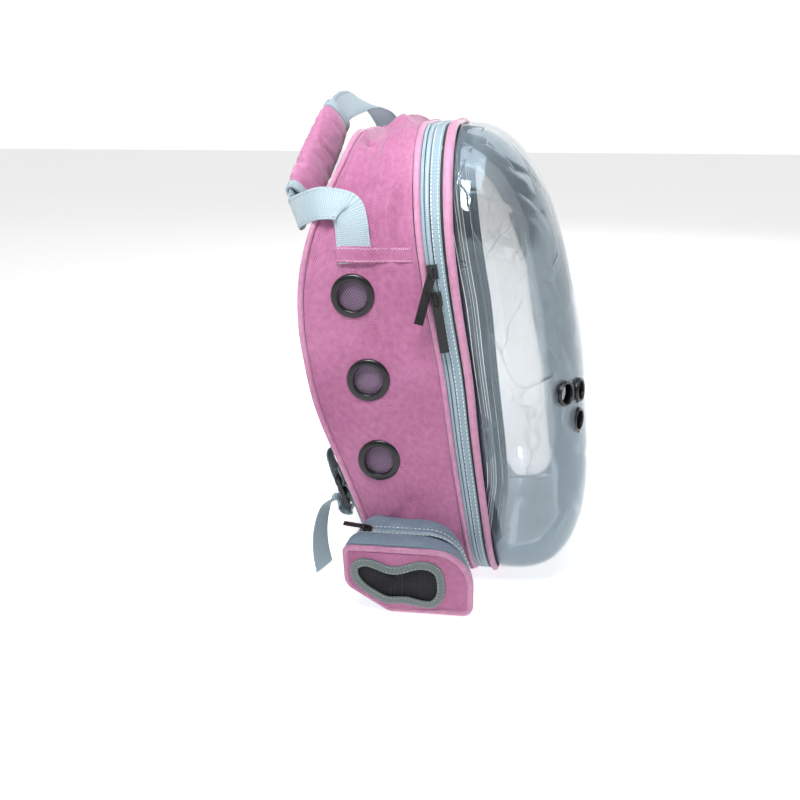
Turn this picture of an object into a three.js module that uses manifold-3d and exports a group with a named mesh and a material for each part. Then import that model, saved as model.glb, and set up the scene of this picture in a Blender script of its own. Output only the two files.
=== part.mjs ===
// Bubble pet carrier backpack: a soft fabric body with a clear domed front that zips round its rim,
// vent grommets and a mesh-windowed pocket on each side, a carry handle and two shoulder straps.
//
// Millimetres, +Z up. The dome faces -Y, the wearer's back faces +Y, and -X is the wearer's left.
// The origin is the middle of the flat base, on the ground.
//
// Everything sewn to the body is placed by three numbers: the distance "along" the body's outline
// (0 at the top middle, negative down the left side), the distance "behind" the dome's rim, and
// the distance "proud" of the body's outer surface.

import * as THREE from "three";
import { mergeVertices } from "three/addons/utils/BufferGeometryUtils.js";
import Module from "manifold-3d";

const wasm = await Module();
wasm.setup();

// Driving dimensions

const clearance = 0.3; // the gap between two pieces that touch

const bodyWidth = 300;
const bodyHeight = 400;
const topCornerRadius = 100;
const bottomCornerRadius = 60;
const topLean = 50; // how far the body's top leans back from its base
const bodyDepth = 140; // from the dome's rim to the back, where it is deepest
const fabricWall = 2.5;
const sideSwell = 5; // how far the soft sides bulge between their seams
const backInset = 7; // how much smaller the back outline is at the top

const domeDepth = 99;
const domeWall = 2;
const domeFullnessAtBase = 3; // the exponent of the dome's superellipse: 2 is an ellipse
const domeFullnessAtTop = 2.3;
const domeLipDepth = 6;

const domePipingRadius = 3.7;
const domeSetback = domePipingRadius + clearance; // the dome's edge lies inside the piping
const seamPipingRadius = 2.6;
const bindingWidth = 1.4;
const frontTapeWidth = 7.7;
const coilWidth = 4;
const rearTapeWidth = 2.6;
const tapeThickness = 1.4;
const coilThickness = 2.4;
const bandSpreadAtBase = 0.76; // the zip band is narrower at the base than at the top
const bandSpreadAtTop = 1.12;

const panelThickness = 5.5;
const panelCrown = 6; // how far the padded back panel bulges

const grommetRadius = 18.5;
const grommetHoleRadius = 12.5;
const grommetBarrelWall = 2;
const grommetFlange = 2.6;
const grommetBehind = 85;
const grommetLowest = 0.3075 * bodyHeight;
const grommetSpacing = 0.179 * bodyHeight;
const grommetCount = 3;
const screenThickness = 0.9;
const screenGap = 0.5; // between the fabric's inside and the mesh strip behind the grommets
const screenMargin = 6;

const ventRadius = 12;
const ventHoleRadius = 8;
const ventFlange = 1.8;
const ventBarrelWall = 1.2;

const pocketLength = 80; // along the body; its face is longer
const pocketHeight = 69;
const pocketReach = 48; // from the body's side to the pocket's face
const pocketFlare = 0.43; // how much longer the pocket is at its face
const pocketDrop = 0.14; // how much lower the pocket is at its face
const pocketRearShare = 0.55; // how much of that is at its rear
const pocketWall = 2.5;
const pocketRear = 60; // the pocket's rear edge, at the body
const pocketUnderside = 1;
const pocketRootDepth = 55; // how deep the walls start inside the body before they are cut to it
const pocketPipingRadius = 2.6;
const coilProud = 0.6; // how far a pocket's zip stands out of its band
const pocketZipShare = 0.5; // where the zip runs on the pocket's band, from body to face
const windowLength = 76;
const windowHeight = 36;
const windowForward = 0.36; // the window's middle, as shares of the pocket's length and height
const windowUp = 0.405;
const windowBinding = 7;
const windowBindingThickness = 1;

const webbingWidth = 28;
const webbingThickness = 1.6;
const gripWall = 3;
const gripTrim = 9; // the length of the grey bound end of the grip
const anchorTapeHeight = 13;
const anchorTapeThickness = 1.4;
const anchorTapeProud = 3.6; // the patch lies over the webbing's end
const anchorTapeLow = 0.735 * bodyHeight;
const anchorTapeFront = 4; // how far the patch starts behind the front seam
const handleBehind = 78;

const strapWidth = 54;
const strapThickness = 7;
const strapWebbingWidth = 25;
const strapWebbingThickness = 1.6;
const lockWidth = 33;
const lockHeight = 27;
const lockThickness = 4.5;
const lockBar = 4.5;
const lockSlotWidth = strapWebbingWidth + 2.4;

const tailReach = 46;
const lockAcross = 112;
const footOutward = 8; // how much further out the strap is sewn to the base than its lock hangs
const footHeight = 22;
const lockLead = 8; // the straight run of webbing above and below the lock
const lockTopHeight = 93;
const lockStandoff = 13;

const sliderLength = 12;
const sliderWidth = 8.6;
const sliderThickness = 2.6;
const bailHeight = 4.4;
const bailLength = 8;
const bailBar = 1.5;
const pullLength = 44;
const pocketPullLength = 21;
const pullWidth = 7.6;
const pullThickness = 1.5;
const pullWindow = 5;
const pullBar = 1.5;

// How far the dome's rim has leaned back at each height, as shares of bodyHeight and topLean

const leanProfile = [
  { height: 0, lean: 0 },
  { height: 0.16, lean: 0.18 },
  { height: 0.335, lean: 0.377 },
  { height: 0.495, lean: 0.533 },
  { height: 0.618, lean: 0.708 },
  { height: 0.7, lean: 0.815 },
  { height: 0.783, lean: 0.9 },
  { height: 0.86, lean: 0.953 },
  { height: 0.938, lean: 0.984 },
  { height: 1, lean: 1 },
];

// How deep the body is at each height, as shares of bodyHeight and bodyDepth

const backProfile = [
  { height: 0, depth: 0.72 },
  { height: 0.1, depth: 0.75 },
  { height: 0.18, depth: 0.8 },
  { height: 0.25, depth: 0.85 },
  { height: 0.31, depth: 0.895 },
  { height: 0.385, depth: 0.955 },
  { height: 0.45, depth: 0.99 },
  { height: 0.52, depth: 1 },
  { height: 0.6, depth: 0.985 },
  { height: 0.7, depth: 0.925 },
  { height: 0.8, depth: 0.82 },
  { height: 0.87, depth: 0.73 },
  { height: 0.94, depth: 0.66 },
  { height: 1, depth: 0.62 },
];

// The fabric's main folds: where each starts and ends, as shares of half the outline's length from
// the top middle (negative on the left) and of the way from the front seam to the back seam, its
// half width as a share of that same way, and its depth in shares of bodyDepth (negative stands out)

const folds = [
  { fromAlong: -0.13, fromAcross: 0.74, toAlong: 0.05, toAcross: 0.7, width: 0.16, depth: 0.09 },
  { fromAlong: -0.13, fromAcross: 0.72, toAlong: -0.24, toAcross: 0.6, width: 0.15, depth: 0.05 },
  { fromAlong: 0.06, fromAcross: 0.6, toAlong: 0.24, toAcross: 0.68, width: 0.17, depth: 0.045 },
  { fromAlong: -0.16, fromAcross: 0.3, toAlong: 0.16, toAcross: 0.32, width: 0.2, depth: -0.028 },
];

// The dome's vent eyelets, by their height as a share of bodyHeight and their place across the body

const vents = [
  { label: "left", height: 0.445, across: -0.77 },
  { label: "right", height: 0.435, across: -0.59 },
  { label: "low", height: 0.37, across: -0.62 },
];

// The pocket's outline at the body, from its front bottom corner round over the top to its rear
// bottom corner, as shares of its length (from the rear edge forwards) and of its height

const pocketCorners = [
  { forward: 1, up: 0, round: 0.14 },
  { forward: 1, up: 1, round: 0.5 },
  { forward: 0, up: 1, round: 0.1 },
  { forward: 0.02, up: 0.36, round: 0.2, rootForward: 0, rootUp: 0.82 },
  { forward: 0.36, up: 0, round: 0.2, rootForward: 0.26 },
];

// The pocket window's outline round its middle, as shares of windowLength and windowHeight

const windowOutline = [
  { forward: 0.5, up: 0.1 },
  { forward: 0.47, up: 0.36 },
  { forward: 0.36, up: 0.5 },
  { forward: 0.22, up: 0.48 },
  { forward: 0.08, up: 0.36 },
  { forward: -0.08, up: 0.32 },
  { forward: -0.22, up: 0.44 },
  { forward: -0.36, up: 0.5 },
  { forward: -0.47, up: 0.4 },
  { forward: -0.46, up: 0.12 },
  { forward: -0.36, up: -0.1 },
  { forward: -0.23, up: -0.27 },
  { forward: -0.1, up: -0.42 },
  { forward: 0.1, up: -0.36 },
  { forward: 0.26, up: -0.46 },
  { forward: 0.42, up: -0.5 },
  { forward: 0.5, up: -0.24 },
];

// The carry handle's webbing, from its left end up to the grip and on down to its right end:
// places and the direction of its width. Places across are shares of half bodyWidth, heights are
// shares of bodyHeight, and behind is counted from the rim in bodyDepths. A row that is proud
// lies that far off the fabric instead

const handlePath = [
  { side: -1, proud: 1.3, behind: 0.555, height: 0.735, width: [0, 1, 0] },
  { side: -1, proud: 1.4, behind: 0.555, height: 0.775, width: [0, 1, 0] },
  { side: -1, proud: 2.2, behind: 0.56, height: 0.812, width: [0, 0.95, -0.3] },
  { side: -1, proud: 3.4, behind: 0.585, height: 0.836, width: [-0.4, 0.6, -0.65] },
  { across: -0.995, behind: 0.64, height: 0.85, width: [-0.55, 0.1, -0.8] },
  { across: -0.985, behind: 0.75, height: 0.851, width: [-0.38, 0.05, -0.9] },
  { across: -0.905, behind: 0.87, height: 0.836, width: [-0.2, 0, -0.96] },
  { across: -0.74, behind: 0.965, height: 0.818, width: [0.05, -0.3, -0.94] },
  { across: -0.545, behind: 0.995, height: 0.812, width: [0.3, -0.42, -0.84] },
  { across: -0.47, behind: 1.0, height: 0.835, width: [0.43, -0.45, -0.79], grip: true },
  { across: 0.26, behind: 0.875, height: 1.018, width: [0.43, -0.45, -0.79] },
  { across: 0.45, behind: 0.845, height: 1.04, width: [0.36, -0.6, -0.7] },
  { across: 0.66, behind: 0.77, height: 1.045, width: [0.2, -0.85, -0.45] },
  { across: 0.86, behind: 0.66, height: 1.01, width: [-0.05, -0.98, -0.15] },
  { across: 1.01, behind: 0.58, height: 0.93, width: [-0.05, -1, 0] },
  { across: 1.06, behind: 0.555, height: 0.84, width: [0, -1, 0] },
  { side: 1, proud: 1.4, behind: 0.555, height: 0.775, width: [0, -1, 0] },
  { side: 1, proud: 1.3, behind: 0.555, height: 0.735, width: [0, -1, 0] },
];
const gripFromRow = handlePath.findIndex((row) => row.grip);
const gripToRow = gripFromRow + 1;

// The left shoulder strap, from its top end down: its middle and its width. Places across are
// shares of half bodyWidth, heights are shares of bodyHeight, and widths are shares of strapWidth

const strapPath = [
  { across: -0.3, height: 0.865, width: 0.9 },
  { across: -0.31, height: 0.8, width: 1 },
  { across: -0.33, height: 0.68, width: 1 },
  { across: -0.37, height: 0.55, width: 1 },
  { across: -0.44, height: 0.44, width: 0.94 },
  { across: -0.53, height: 0.35, width: 0.72 },
  { across: -0.6, height: 0.3, width: 0.52 },
];

// The left strap's loose tail below its ladder lock, in millimetres from the lock's lower end in
// shares of tailReach, with the direction of its width

const tailPath = [
  { x: 0, y: -0.01, z: -0.2, width: [-1, 0, 0] },
  { x: -0.06, y: 0.12, z: -0.17, width: [-1, 0.05, 0.1] },
  { x: -0.13, y: 0.28, z: 0.02, width: [-0.97, 0.1, 0.2] },
  { x: -0.24, y: 0.46, z: -0.1, width: [-0.95, 0.2, 0.2] },
  { x: -0.33, y: 0.56, z: -0.5, width: [-0.95, 0.3, 0.1] },
  { x: -0.37, y: 0.56, z: -0.95, width: [-0.93, 0.35, 0] },
  { x: -0.35, y: 0.5, z: -1.36, width: [-0.9, 0.4, 0] },
];

// Tables read smoothly between their rows

function readTable(rows, key, column, at) {
  const last = rows.length - 1;
  const x = Math.min(Math.max(at, rows[0][key]), rows[last][key]);
  let i = 0;
  while (i < last - 1 && x > rows[i + 1][key]) i += 1;
  const slope = (k) => {
    const a = rows[Math.max(k - 1, 0)];
    const b = rows[Math.min(k + 1, last)];
    return (b[column] - a[column]) / (b[key] - a[key]);
  };
  const step = rows[i + 1][key] - rows[i][key];
  const t = (x - rows[i][key]) / step;
  const start = (1 + 2 * t) * (1 - t) ** 2 * rows[i][column] + t * (1 - t) ** 2 * step * slope(i);
  const end = t * t * (3 - 2 * t) * rows[i + 1][column] + t * t * (t - 1) * step * slope(i + 1);
  return start + end;
}

function smoothStep(share) {
  const t = Math.min(Math.max(share, 0), 1);
  return t * t * (3 - 2 * t);
}

// The body's outline, seen from the front

const halfTop = bodyWidth / 2 - topCornerRadius;
const halfBase = bodyWidth / 2 - bottomCornerRadius;
const sideLength = bodyHeight - topCornerRadius - bottomCornerRadius;
const topArc = (Math.PI / 2) * topCornerRadius;
const bottomArc = (Math.PI / 2) * bottomCornerRadius;
const sideStart = halfTop + topArc;
const sideEnd = sideStart + sideLength;
const baseStart = sideEnd + bottomArc;
const halfLoop = baseStart + halfBase;

// The outline's point and outward direction at a distance along it from the top middle
function outline(along) {
  const side = along < 0 ? -1 : 1;
  const a = Math.abs(along);
  if (a <= halfTop) return { x: side * a, z: bodyHeight, nx: 0, nz: 1 };
  if (a <= sideStart) {
    const turn = (a - halfTop) / topCornerRadius;
    const nx = Math.sin(turn);
    const nz = Math.cos(turn);
    return {
      x: side * (halfTop + topCornerRadius * nx),
      z: bodyHeight - topCornerRadius + topCornerRadius * nz,
      nx: side * nx,
      nz,
    };
  }
  if (a <= sideEnd) {
    return { x: (side * bodyWidth) / 2, z: bodyHeight - topCornerRadius - (a - sideStart), nx: side, nz: 0 };
  }
  if (a <= baseStart) {
    const turn = (a - sideEnd) / bottomCornerRadius;
    const nx = Math.cos(turn);
    const nz = -Math.sin(turn);
    return {
      x: side * (halfBase + bottomCornerRadius * nx),
      z: bottomCornerRadius + bottomCornerRadius * nz,
      nx: side * nx,
      nz,
    };
  }
  return { x: side * (halfLoop - a), z: 0, nx: 0, nz: -1 };
}

// The distance along the outline to a height on its straight side, or on its top corner
function alongAtHeight(height, side) {
  const cornerHeight = bodyHeight - topCornerRadius;
  if (height <= cornerHeight) return side * (sideStart + cornerHeight - height);
  return side * (halfTop + topCornerRadius * Math.acos((height - cornerHeight) / topCornerRadius));
}

const bandStations = [
  { until: halfTop, steps: 2 },
  { until: sideStart, steps: 5 },
  { until: sideEnd, steps: 6 },
  { until: baseStart, steps: 4 },
  { until: halfLoop, steps: 2 },
];

// Where the loop is cut into straight pieces: the right half from the top, then the left half back up
function loopStations() {
  const right = [0];
  for (const { until, steps } of bandStations) {
    const from = right[right.length - 1];
    for (let i = 1; i <= steps; i += 1) right.push(from + ((until - from) * i) / steps);
  }
  const left = right.slice(1, -1).map((a) => -a);
  return [...right, ...left.reverse()];
}

const stations = loopStations();

// The body's depth and the band's spread follow the height

const frontEdge = -(bodyDepth * backProfile[0].depth) / 2;

function rimY(z) {
  return frontEdge + topLean * readTable(leanProfile, "height", "lean", z / bodyHeight);
}

function depthAt(z) {
  return bodyDepth * readTable(backProfile, "height", "depth", z / bodyHeight);
}

function bandSpread(z) {
  return bandSpreadAtBase + (bandSpreadAtTop - bandSpreadAtBase) * (z / bodyHeight);
}

// The zip band, from the dome's rim back to the fabric

const bindingStart = domePipingRadius + clearance;
const frontTapeStart = bindingStart + bindingWidth + clearance;
const coilStart = frontTapeStart + frontTapeWidth + clearance;
const rearTapeStart = coilStart + coilWidth + clearance;
const seamPipingMiddle = rearTapeStart + rearTapeWidth + clearance + seamPipingRadius;
const fabricStart = seamPipingMiddle + seamPipingRadius + 2 * clearance;

function fabricFront(z) {
  return fabricStart * bandSpread(z);
}

function fabricBack(z) {
  return depthAt(z) - 2 * seamPipingRadius - 2 * clearance;
}

// How much a place on the fabric stands out of the outline: swell, folds and the smaller back
function swellAt(along, point, across) {
  const q = Math.min(Math.max(across, 0), 1);
  const upright = smoothStep((point.nz + 0.75) / 0.6);
  let swell = sideSwell * Math.sin(Math.PI * q) * upright;
  swell -= backInset * q ** 1.5 * smoothStep(point.nz);
  const width = fabricBack(point.z) - fabricFront(point.z);
  for (const fold of folds) {
    const ax = fold.fromAlong * halfLoop;
    const bx = fold.toAlong * halfLoop;
    const ay = fold.fromAcross * width;
    const by = fold.toAcross * width;
    const length2 = (bx - ax) ** 2 + (by - ay) ** 2;
    const share = ((along - ax) * (bx - ax) + (q * width - ay) * (by - ay)) / length2;
    const t = Math.min(Math.max(share, 0), 1);
    const off2 = (along - ax - t * (bx - ax)) ** 2 + (q * width - ay - t * (by - ay)) ** 2;
    const seamed = Math.min(1, 6 * q, 6 * (1 - q));
    swell -= fold.depth * bodyDepth * Math.exp(-off2 / (fold.width * width) ** 2) * seamed;
  }
  return swell;
}

// At the base the outline is pushed in, so that a proud piece still ends on the ground
function baseward(point) {
  return smoothStep(-point.nz);
}

// A place on the fabric, across from its front seam (0) to its back seam (1)
function onFabric(along, across, proud) {
  const point = outline(along);
  const front = fabricFront(point.z);
  const behind = front + across * (fabricBack(point.z) - front);
  const out = proud + swellAt(along, point, across);
  return new THREE.Vector3(point.x + point.nx * out, rimY(point.z) + behind, point.z + point.nz * out);
}

// A place on the zip band or the dome's rim
function onBand(along, behind, proud) {
  const point = outline(along);
  const out = proud - domePipingRadius * baseward(point);
  const y = rimY(point.z) + behind * bandSpread(point.z);
  return new THREE.Vector3(point.x + point.nx * out, y, point.z + point.nz * out);
}

// A place beside the back seam, behind the fabric's rear edge
function onBackSeam(along, behind, proud) {
  const point = outline(along);
  const out = proud + swellAt(along, point, 1) - seamPipingRadius * baseward(point);
  const y = rimY(point.z) + fabricBack(point.z) + behind;
  return new THREE.Vector3(point.x + point.nx * out, y, point.z + point.nz * out);
}

// Meshes and solids

// A geometry from points and triangles, turned to face outwards
function closedGeometry(points, triangles) {
  const positions = new Float32Array(points.length * 3);
  points.forEach((p, i) => p.toArray(positions, 3 * i));
  let volume = 0;
  const cross = new THREE.Vector3();
  for (const [a, b, c] of triangles) {
    volume += points[a].dot(cross.crossVectors(points[b], points[c]));
  }
  const indices = volume < 0 ? triangles.map(([a, b, c]) => [a, c, b]) : triangles;
  const geometry = new THREE.BufferGeometry();
  geometry.setAttribute("position", new THREE.BufferAttribute(positions, 3));
  geometry.setIndex(indices.flat());
  return geometry;
}

function solid(geometry) {
  const bare = geometry.clone();
  bare.deleteAttribute("normal");
  bare.deleteAttribute("uv");
  const merged = mergeVertices(bare, 1e-4);
  return new wasm.Manifold(
    new wasm.Mesh({
      numProp: 3,
      vertProperties: merged.attributes.position.array,
      triVerts: new Uint32Array(merged.index.array),
    }),
  );
}

function geometryOf(manifold) {
  const mesh = manifold.getMesh();
  const geometry = new THREE.BufferGeometry();
  geometry.setAttribute("position", new THREE.BufferAttribute(new Float32Array(mesh.vertProperties), 3));
  geometry.setIndex([...mesh.triVerts]);
  return geometry;
}

// Rows of points, each row a closed section, joined in order; the rows close on each other or end
// in flat caps. The second half of a section is split along the same slant as the first half, so
// that a thin sheet keeps its thickness where it twists
function loft(rows, closed) {
  const sides = rows[0].length;
  const points = rows.flat();
  const triangles = [];
  const last = closed ? rows.length : rows.length - 1;
  for (let i = 0; i < last; i += 1) {
    const next = (i + 1) % rows.length;
    for (let j = 0; j < sides; j += 1) {
      const k = (j + 1) % sides;
      const [a, b, c, d] = [i * sides + j, next * sides + j, next * sides + k, i * sides + k];
      if (j < sides / 2) triangles.push([a, b, c], [a, c, d]);
      else triangles.push([a, b, d], [b, c, d]);
    }
  }
  if (!closed) {
    const end = (rows.length - 1) * sides;
    for (let j = 0; j < sides / 2 - 1; j += 1) {
      const [a, b, c, d] = [j, j + 1, sides - 2 - j, sides - 1 - j];
      triangles.push([a, b, c], [a, c, d]);
      triangles.push([end + a, end + c, end + b], [end + a, end + d, end + c]);
    }
  }
  return closedGeometry(points, triangles);
}

// A piece that runs all round the body: its section is given at each station
function loopPiece(section) {
  return loft(stations.map((along) => section(along)), true);
}

// A lid over the whole loop: rings of points from the rim in to a middle point, outside then inside
function lidPiece(outer, inner, outerMiddle, innerMiddle) {
  const sides = stations.length;
  const rings = [...outer, ...[...inner].reverse()];
  const points = rings.flat();
  const triangles = [];
  for (let i = 0; i < rings.length; i += 1) {
    const next = (i + 1) % rings.length;
    if (i === outer.length - 1) continue;
    for (let j = 0; j < sides; j += 1) {
      const k = (j + 1) % sides;
      triangles.push([i * sides + j, next * sides + k, next * sides + j]);
      triangles.push([i * sides + j, i * sides + k, next * sides + k]);
    }
  }
  const top = points.push(outerMiddle) - 1;
  const under = points.push(innerMiddle) - 1;
  const outerLast = (outer.length - 1) * sides;
  const innerLast = outer.length * sides;
  for (let j = 0; j < sides; j += 1) {
    const k = (j + 1) % sides;
    triangles.push([outerLast + j, outerLast + k, top]);
    triangles.push([innerLast + j, under, innerLast + k]);
  }
  return closedGeometry(points, triangles);
}

function roundSection(sides, radius, place) {
  return Array.from({ length: sides }, (_, i) => {
    const turn = (2 * Math.PI * (i + 0.5)) / sides;
    return place(radius * Math.cos(turn), radius * Math.sin(turn));
  });
}

// A flat outline of [y, z] pairs, extruded along X from one place to another
function prismAlongX(points, fromX, toX) {
  const shape = new THREE.Shape(points.map(([y, z]) => new THREE.Vector2(y, z)));
  const geometry = new THREE.ExtrudeGeometry(shape, { depth: toX - fromX, bevelEnabled: false });
  geometry.applyMatrix4(new THREE.Matrix4().set(0, 0, 1, fromX, 1, 0, 0, 0, 0, 1, 0, 0, 0, 0, 0, 1));
  return solid(geometry);
}

// A block in a frame of three directions, from its low corner to its high corner
function block(frame, low, high) {
  const size = new THREE.Vector3().subVectors(high, low);
  const geometry = new THREE.BoxGeometry(size.x, size.y, size.z);
  geometry.translate((low.x + high.x) / 2, (low.y + high.y) / 2, (low.z + high.z) / 2);
  geometry.applyMatrix4(frame);
  return solid(geometry);
}

function vector(x, y, z) {
  return new THREE.Vector3(x, y, z);
}

// Finishes

function finish(hex, roughness, more = {}) {
  return new THREE.MeshStandardMaterial({ color: hex, roughness, metalness: 0, ...more });
}

const pinkFabric = finish(0xc98fae, 0.85);
const pinkPiping = finish(0xd69bbd, 0.7);
const greyZip = finish(0x8ea3ae, 0.8);
const greyWebbing = finish(0xa9b8bd, 0.75);
const blackPlastic = finish(0x15161a, 0.35);
const blackMesh = finish(0x26262a, 0.95);
const blackBinding = finish(0x17171b, 0.8);
const liningMesh = finish(0x5d4a60, 0.9);
const clearPlastic = finish(0xdbe6ea, 0.08, { transparent: true, opacity: 0.3 });

const carrier = new THREE.Group();
carrier.name = "bubble_carrier";

function add(name, geometry, material) {
  const mesh = new THREE.Mesh(geometry, material);
  mesh.name = name;
  carrier.add(mesh);
}

// The fabric body: a band of sides, top and base, open at the front and back

const acrossSteps = 6;

function fabricSection(along, outer, inner) {
  const section = [];
  for (let i = 0; i <= acrossSteps; i += 1) section.push(onFabric(along, i / acrossSteps, outer));
  for (let i = acrossSteps; i >= 0; i -= 1) section.push(onFabric(along, i / acrossSteps, inner));
  return section;
}

// The whole body without its hollow, a little larger, for cutting what is sewn onto it
function bodyEnvelope(proud) {
  const rings = Array.from({ length: acrossSteps + 1 }, (_, i) =>
    stations.map((along) => onFabric(along, i / acrossSteps, proud)),
  );
  const middle = bodyHeight / 2;
  const front = vector(0, rimY(middle) + fabricFront(middle), middle);
  const back = vector(0, rimY(middle) + fabricBack(middle), middle);
  const sides = stations.length;
  const points = rings.flat();
  const triangles = [];
  for (let i = 0; i < acrossSteps; i += 1) {
    for (let j = 0; j < sides; j += 1) {
      const k = (j + 1) % sides;
      triangles.push([i * sides + j, (i + 1) * sides + j, (i + 1) * sides + k]);
      triangles.push([i * sides + j, (i + 1) * sides + k, i * sides + k]);
    }
  }
  const frontIndex = points.push(front) - 1;
  const backIndex = points.push(back) - 1;
  for (let j = 0; j < sides; j += 1) {
    const k = (j + 1) % sides;
    triangles.push([frontIndex, j, k]);
    triangles.push([backIndex, acrossSteps * sides + k, acrossSteps * sides + j]);
  }
  return solid(closedGeometry(points, triangles));
}

const envelope = bodyEnvelope(clearance);

// Where each grommet sits: its centre on the fabric's outer surface
function grommetCentre(side, index) {
  const height = grommetLowest + index * grommetSpacing;
  const front = fabricFront(height);
  const across = (grommetBehind - front) / (fabricBack(height) - front);
  return onFabric(alongAtHeight(height, side), across, 0);
}

function tubeAlongX(radius, centre, fromX, toX, sides) {
  const geometry = new THREE.CylinderGeometry(radius, radius, toX - fromX, sides);
  geometry.rotateZ(Math.PI / 2);
  geometry.translate((fromX + toX) / 2, centre.y, centre.z);
  return solid(geometry);
}

const grommetSides = 10;

function addFabricBody() {
  let body = solid(loopPiece((along) => fabricSection(along, 0, -fabricWall)));
  for (const side of [-1, 1]) {
    for (let i = 0; i < grommetCount; i += 1) {
      const centre = grommetCentre(side, i);
      const holeRadius = grommetHoleRadius + grommetBarrelWall + clearance;
      const reach = 4 * fabricWall;
      body = body.subtract(tubeAlongX(holeRadius, centre, centre.x - reach, centre.x + reach, grommetSides));
    }
  }
  add("fabric_body", geometryOf(body), pinkFabric);
}

function addGrommets(side, label) {
  for (let i = 0; i < grommetCount; i += 1) {
    const centre = grommetCentre(side, i);
    const barrelRadius = grommetHoleRadius + grommetBarrelWall;
    const [inX, outX] = [centre.x - side * fabricWall * 0.6, centre.x + side * grommetFlange];
    const [lowX, highX] = [Math.min(inX, outX), Math.max(inX, outX)];
    const flange = tubeAlongX(grommetRadius, centre, lowX, highX, grommetSides).subtract(envelope);
    const ring = flange
      .add(tubeAlongX(barrelRadius, centre, lowX, highX, grommetSides))
      .subtract(tubeAlongX(grommetHoleRadius, centre, lowX - 1, highX + 1, grommetSides));
    add(`grommet_${label}_${i + 1}`, geometryOf(ring), blackPlastic);
  }
}

// A strip of mesh inside the fabric, behind one side's grommets
function addVentScreen(side, label) {
  const margin = grommetRadius + screenMargin;
  const low = grommetLowest - margin;
  const high = grommetLowest + (grommetCount - 1) * grommetSpacing + margin;
  const steps = 8;
  const rows = Array.from({ length: steps + 1 }, (_, i) => {
    const height = low + ((high - low) * i) / steps;
    const along = alongAtHeight(height, side);
    const front = fabricFront(height);
    const width = fabricBack(height) - front;
    const across = [-1, -0.33, 0.33, 1].map((share) => (grommetBehind + share * margin - front) / width);
    const outer = across.map((q) => onFabric(along, q, -fabricWall - screenGap));
    const inner = across.map((q) => onFabric(along, q, -fabricWall - screenGap - screenThickness));
    return [...outer, ...inner.reverse()];
  });
  add(`vent_screen_${label}`, loft(rows, false), liningMesh);
}

// The zip band, its pipings and the binding at the dome's edge

function bandSection(from, width, low, high) {
  return (along) => [
    onBand(along, from, low),
    onBand(along, from + width, low),
    onBand(along, from + width, high),
    onBand(along, from, high),
  ];
}

function addZipBand() {
  const tapeTop = tapeThickness / 2;
  add("dome_piping", loopPiece((along) => roundSection(6, domePipingRadius, (s, n) => onBand(along, s, n))), pinkPiping);
  add("dome_binding", loopPiece(bandSection(bindingStart, bindingWidth, -tapeTop, tapeTop + 0.4)), blackBinding);
  add("zip_tape_front", loopPiece(bandSection(frontTapeStart, frontTapeWidth, -tapeTop, tapeTop)), greyZip);
  const coilMiddle = coilStart + coilWidth / 2;
  add(
    "zip_coil",
    loopPiece((along) =>
      roundSection(4, Math.SQRT2, (s, n) => onBand(along, coilMiddle + (s * coilWidth) / 2, (n * coilThickness) / 2)),
    ),
    greyZip,
  );
  add("zip_tape_rear", loopPiece(bandSection(rearTapeStart, rearTapeWidth, -tapeTop, tapeTop)), greyZip);
  add(
    "front_seam_piping",
    loopPiece((along) => roundSection(6, seamPipingRadius, (s, n) => onBand(along, seamPipingMiddle + s, n))),
    pinkPiping,
  );
}

// The clear dome: its lip tucks under the piping, then a superellipse rises from the rim

const domeSteps = 4;
const domeMiddle = bodyHeight / 2;

// How full the dome is on the way to a place on its rim
function fullnessAt(rimZ) {
  const share = Math.min(Math.max(rimZ / bodyHeight, 0), 1);
  return domeFullnessAtBase + (domeFullnessAtTop - domeFullnessAtBase) * share;
}

// A point of the dome at an angle from its rim (0) to its middle (a quarter turn)
function onDome(along, angle, inset) {
  const rim = onBand(along, 0, -inset);
  const power = 2 / fullnessAt(rim.z);
  const spread = Math.cos(angle) ** power;
  const rise = Math.sin(angle) ** power;
  const z = domeMiddle + (rim.z - domeMiddle) * spread;
  return vector(rim.x * spread, rimY(z) - domeLipDepth - (domeDepth - domeLipDepth - inset) * rise, z);
}

function addDome() {
  const sheet = (inset) => {
    const rings = [
      stations.map((along) => onBand(along, domePipingRadius, -domeSetback - inset)),
      stations.map((along) => onBand(along, -domePipingRadius - clearance, -domeSetback - inset)),
    ];
    for (let i = 0; i < domeSteps; i += 1) {
      const angle = ((Math.PI / 2) * i) / domeSteps;
      rings.push(stations.map((along) => onDome(along, angle, inset)));
    }
    return rings;
  };
  const middle = (inset) => vector(0, rimY(domeMiddle) - domeDepth + inset, domeMiddle);
  const shell = lidPiece(sheet(0), sheet(domeWall), middle(0), middle(domeWall));
  let dome = solid(shell);
  for (const vent of vents) dome = dome.subtract(ventDisc(vent, ventHoleRadius + ventBarrelWall + clearance, 4 * domeWall));
  add("dome", geometryOf(dome), clearPlastic);
}


// A vent's frame on the dome, its third direction pointing out of the surface
function ventFrame(vent) {
  const surface = (x, z) => {
    const share = Math.hypot(x / (bodyWidth / 2), (z - domeMiddle) / (bodyHeight / 2));
    const fullness = fullnessAt(domeMiddle + (z - domeMiddle) / share);
    const rise = (1 - share ** fullness) ** (1 / fullness);
    return vector(x, rimY(z) - domeLipDepth - (domeDepth - domeLipDepth) * rise, z);
  };
  const x = (vent.across * bodyWidth) / 2;
  const z = vent.height * bodyHeight;
  const across = surface(x + 5, z).sub(surface(x - 5, z));
  const up = surface(x, z + 5).sub(surface(x, z - 5));
  const outward = across.cross(up).normalize();
  if (outward.y > 0) outward.negate();
  const level = vector(0, 0, 1).cross(outward).normalize();
  const frame = new THREE.Matrix4().makeBasis(level, outward.clone().cross(level), outward);
  return frame.setPosition(surface(x, z));
}

const ventSides = 8;

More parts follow.
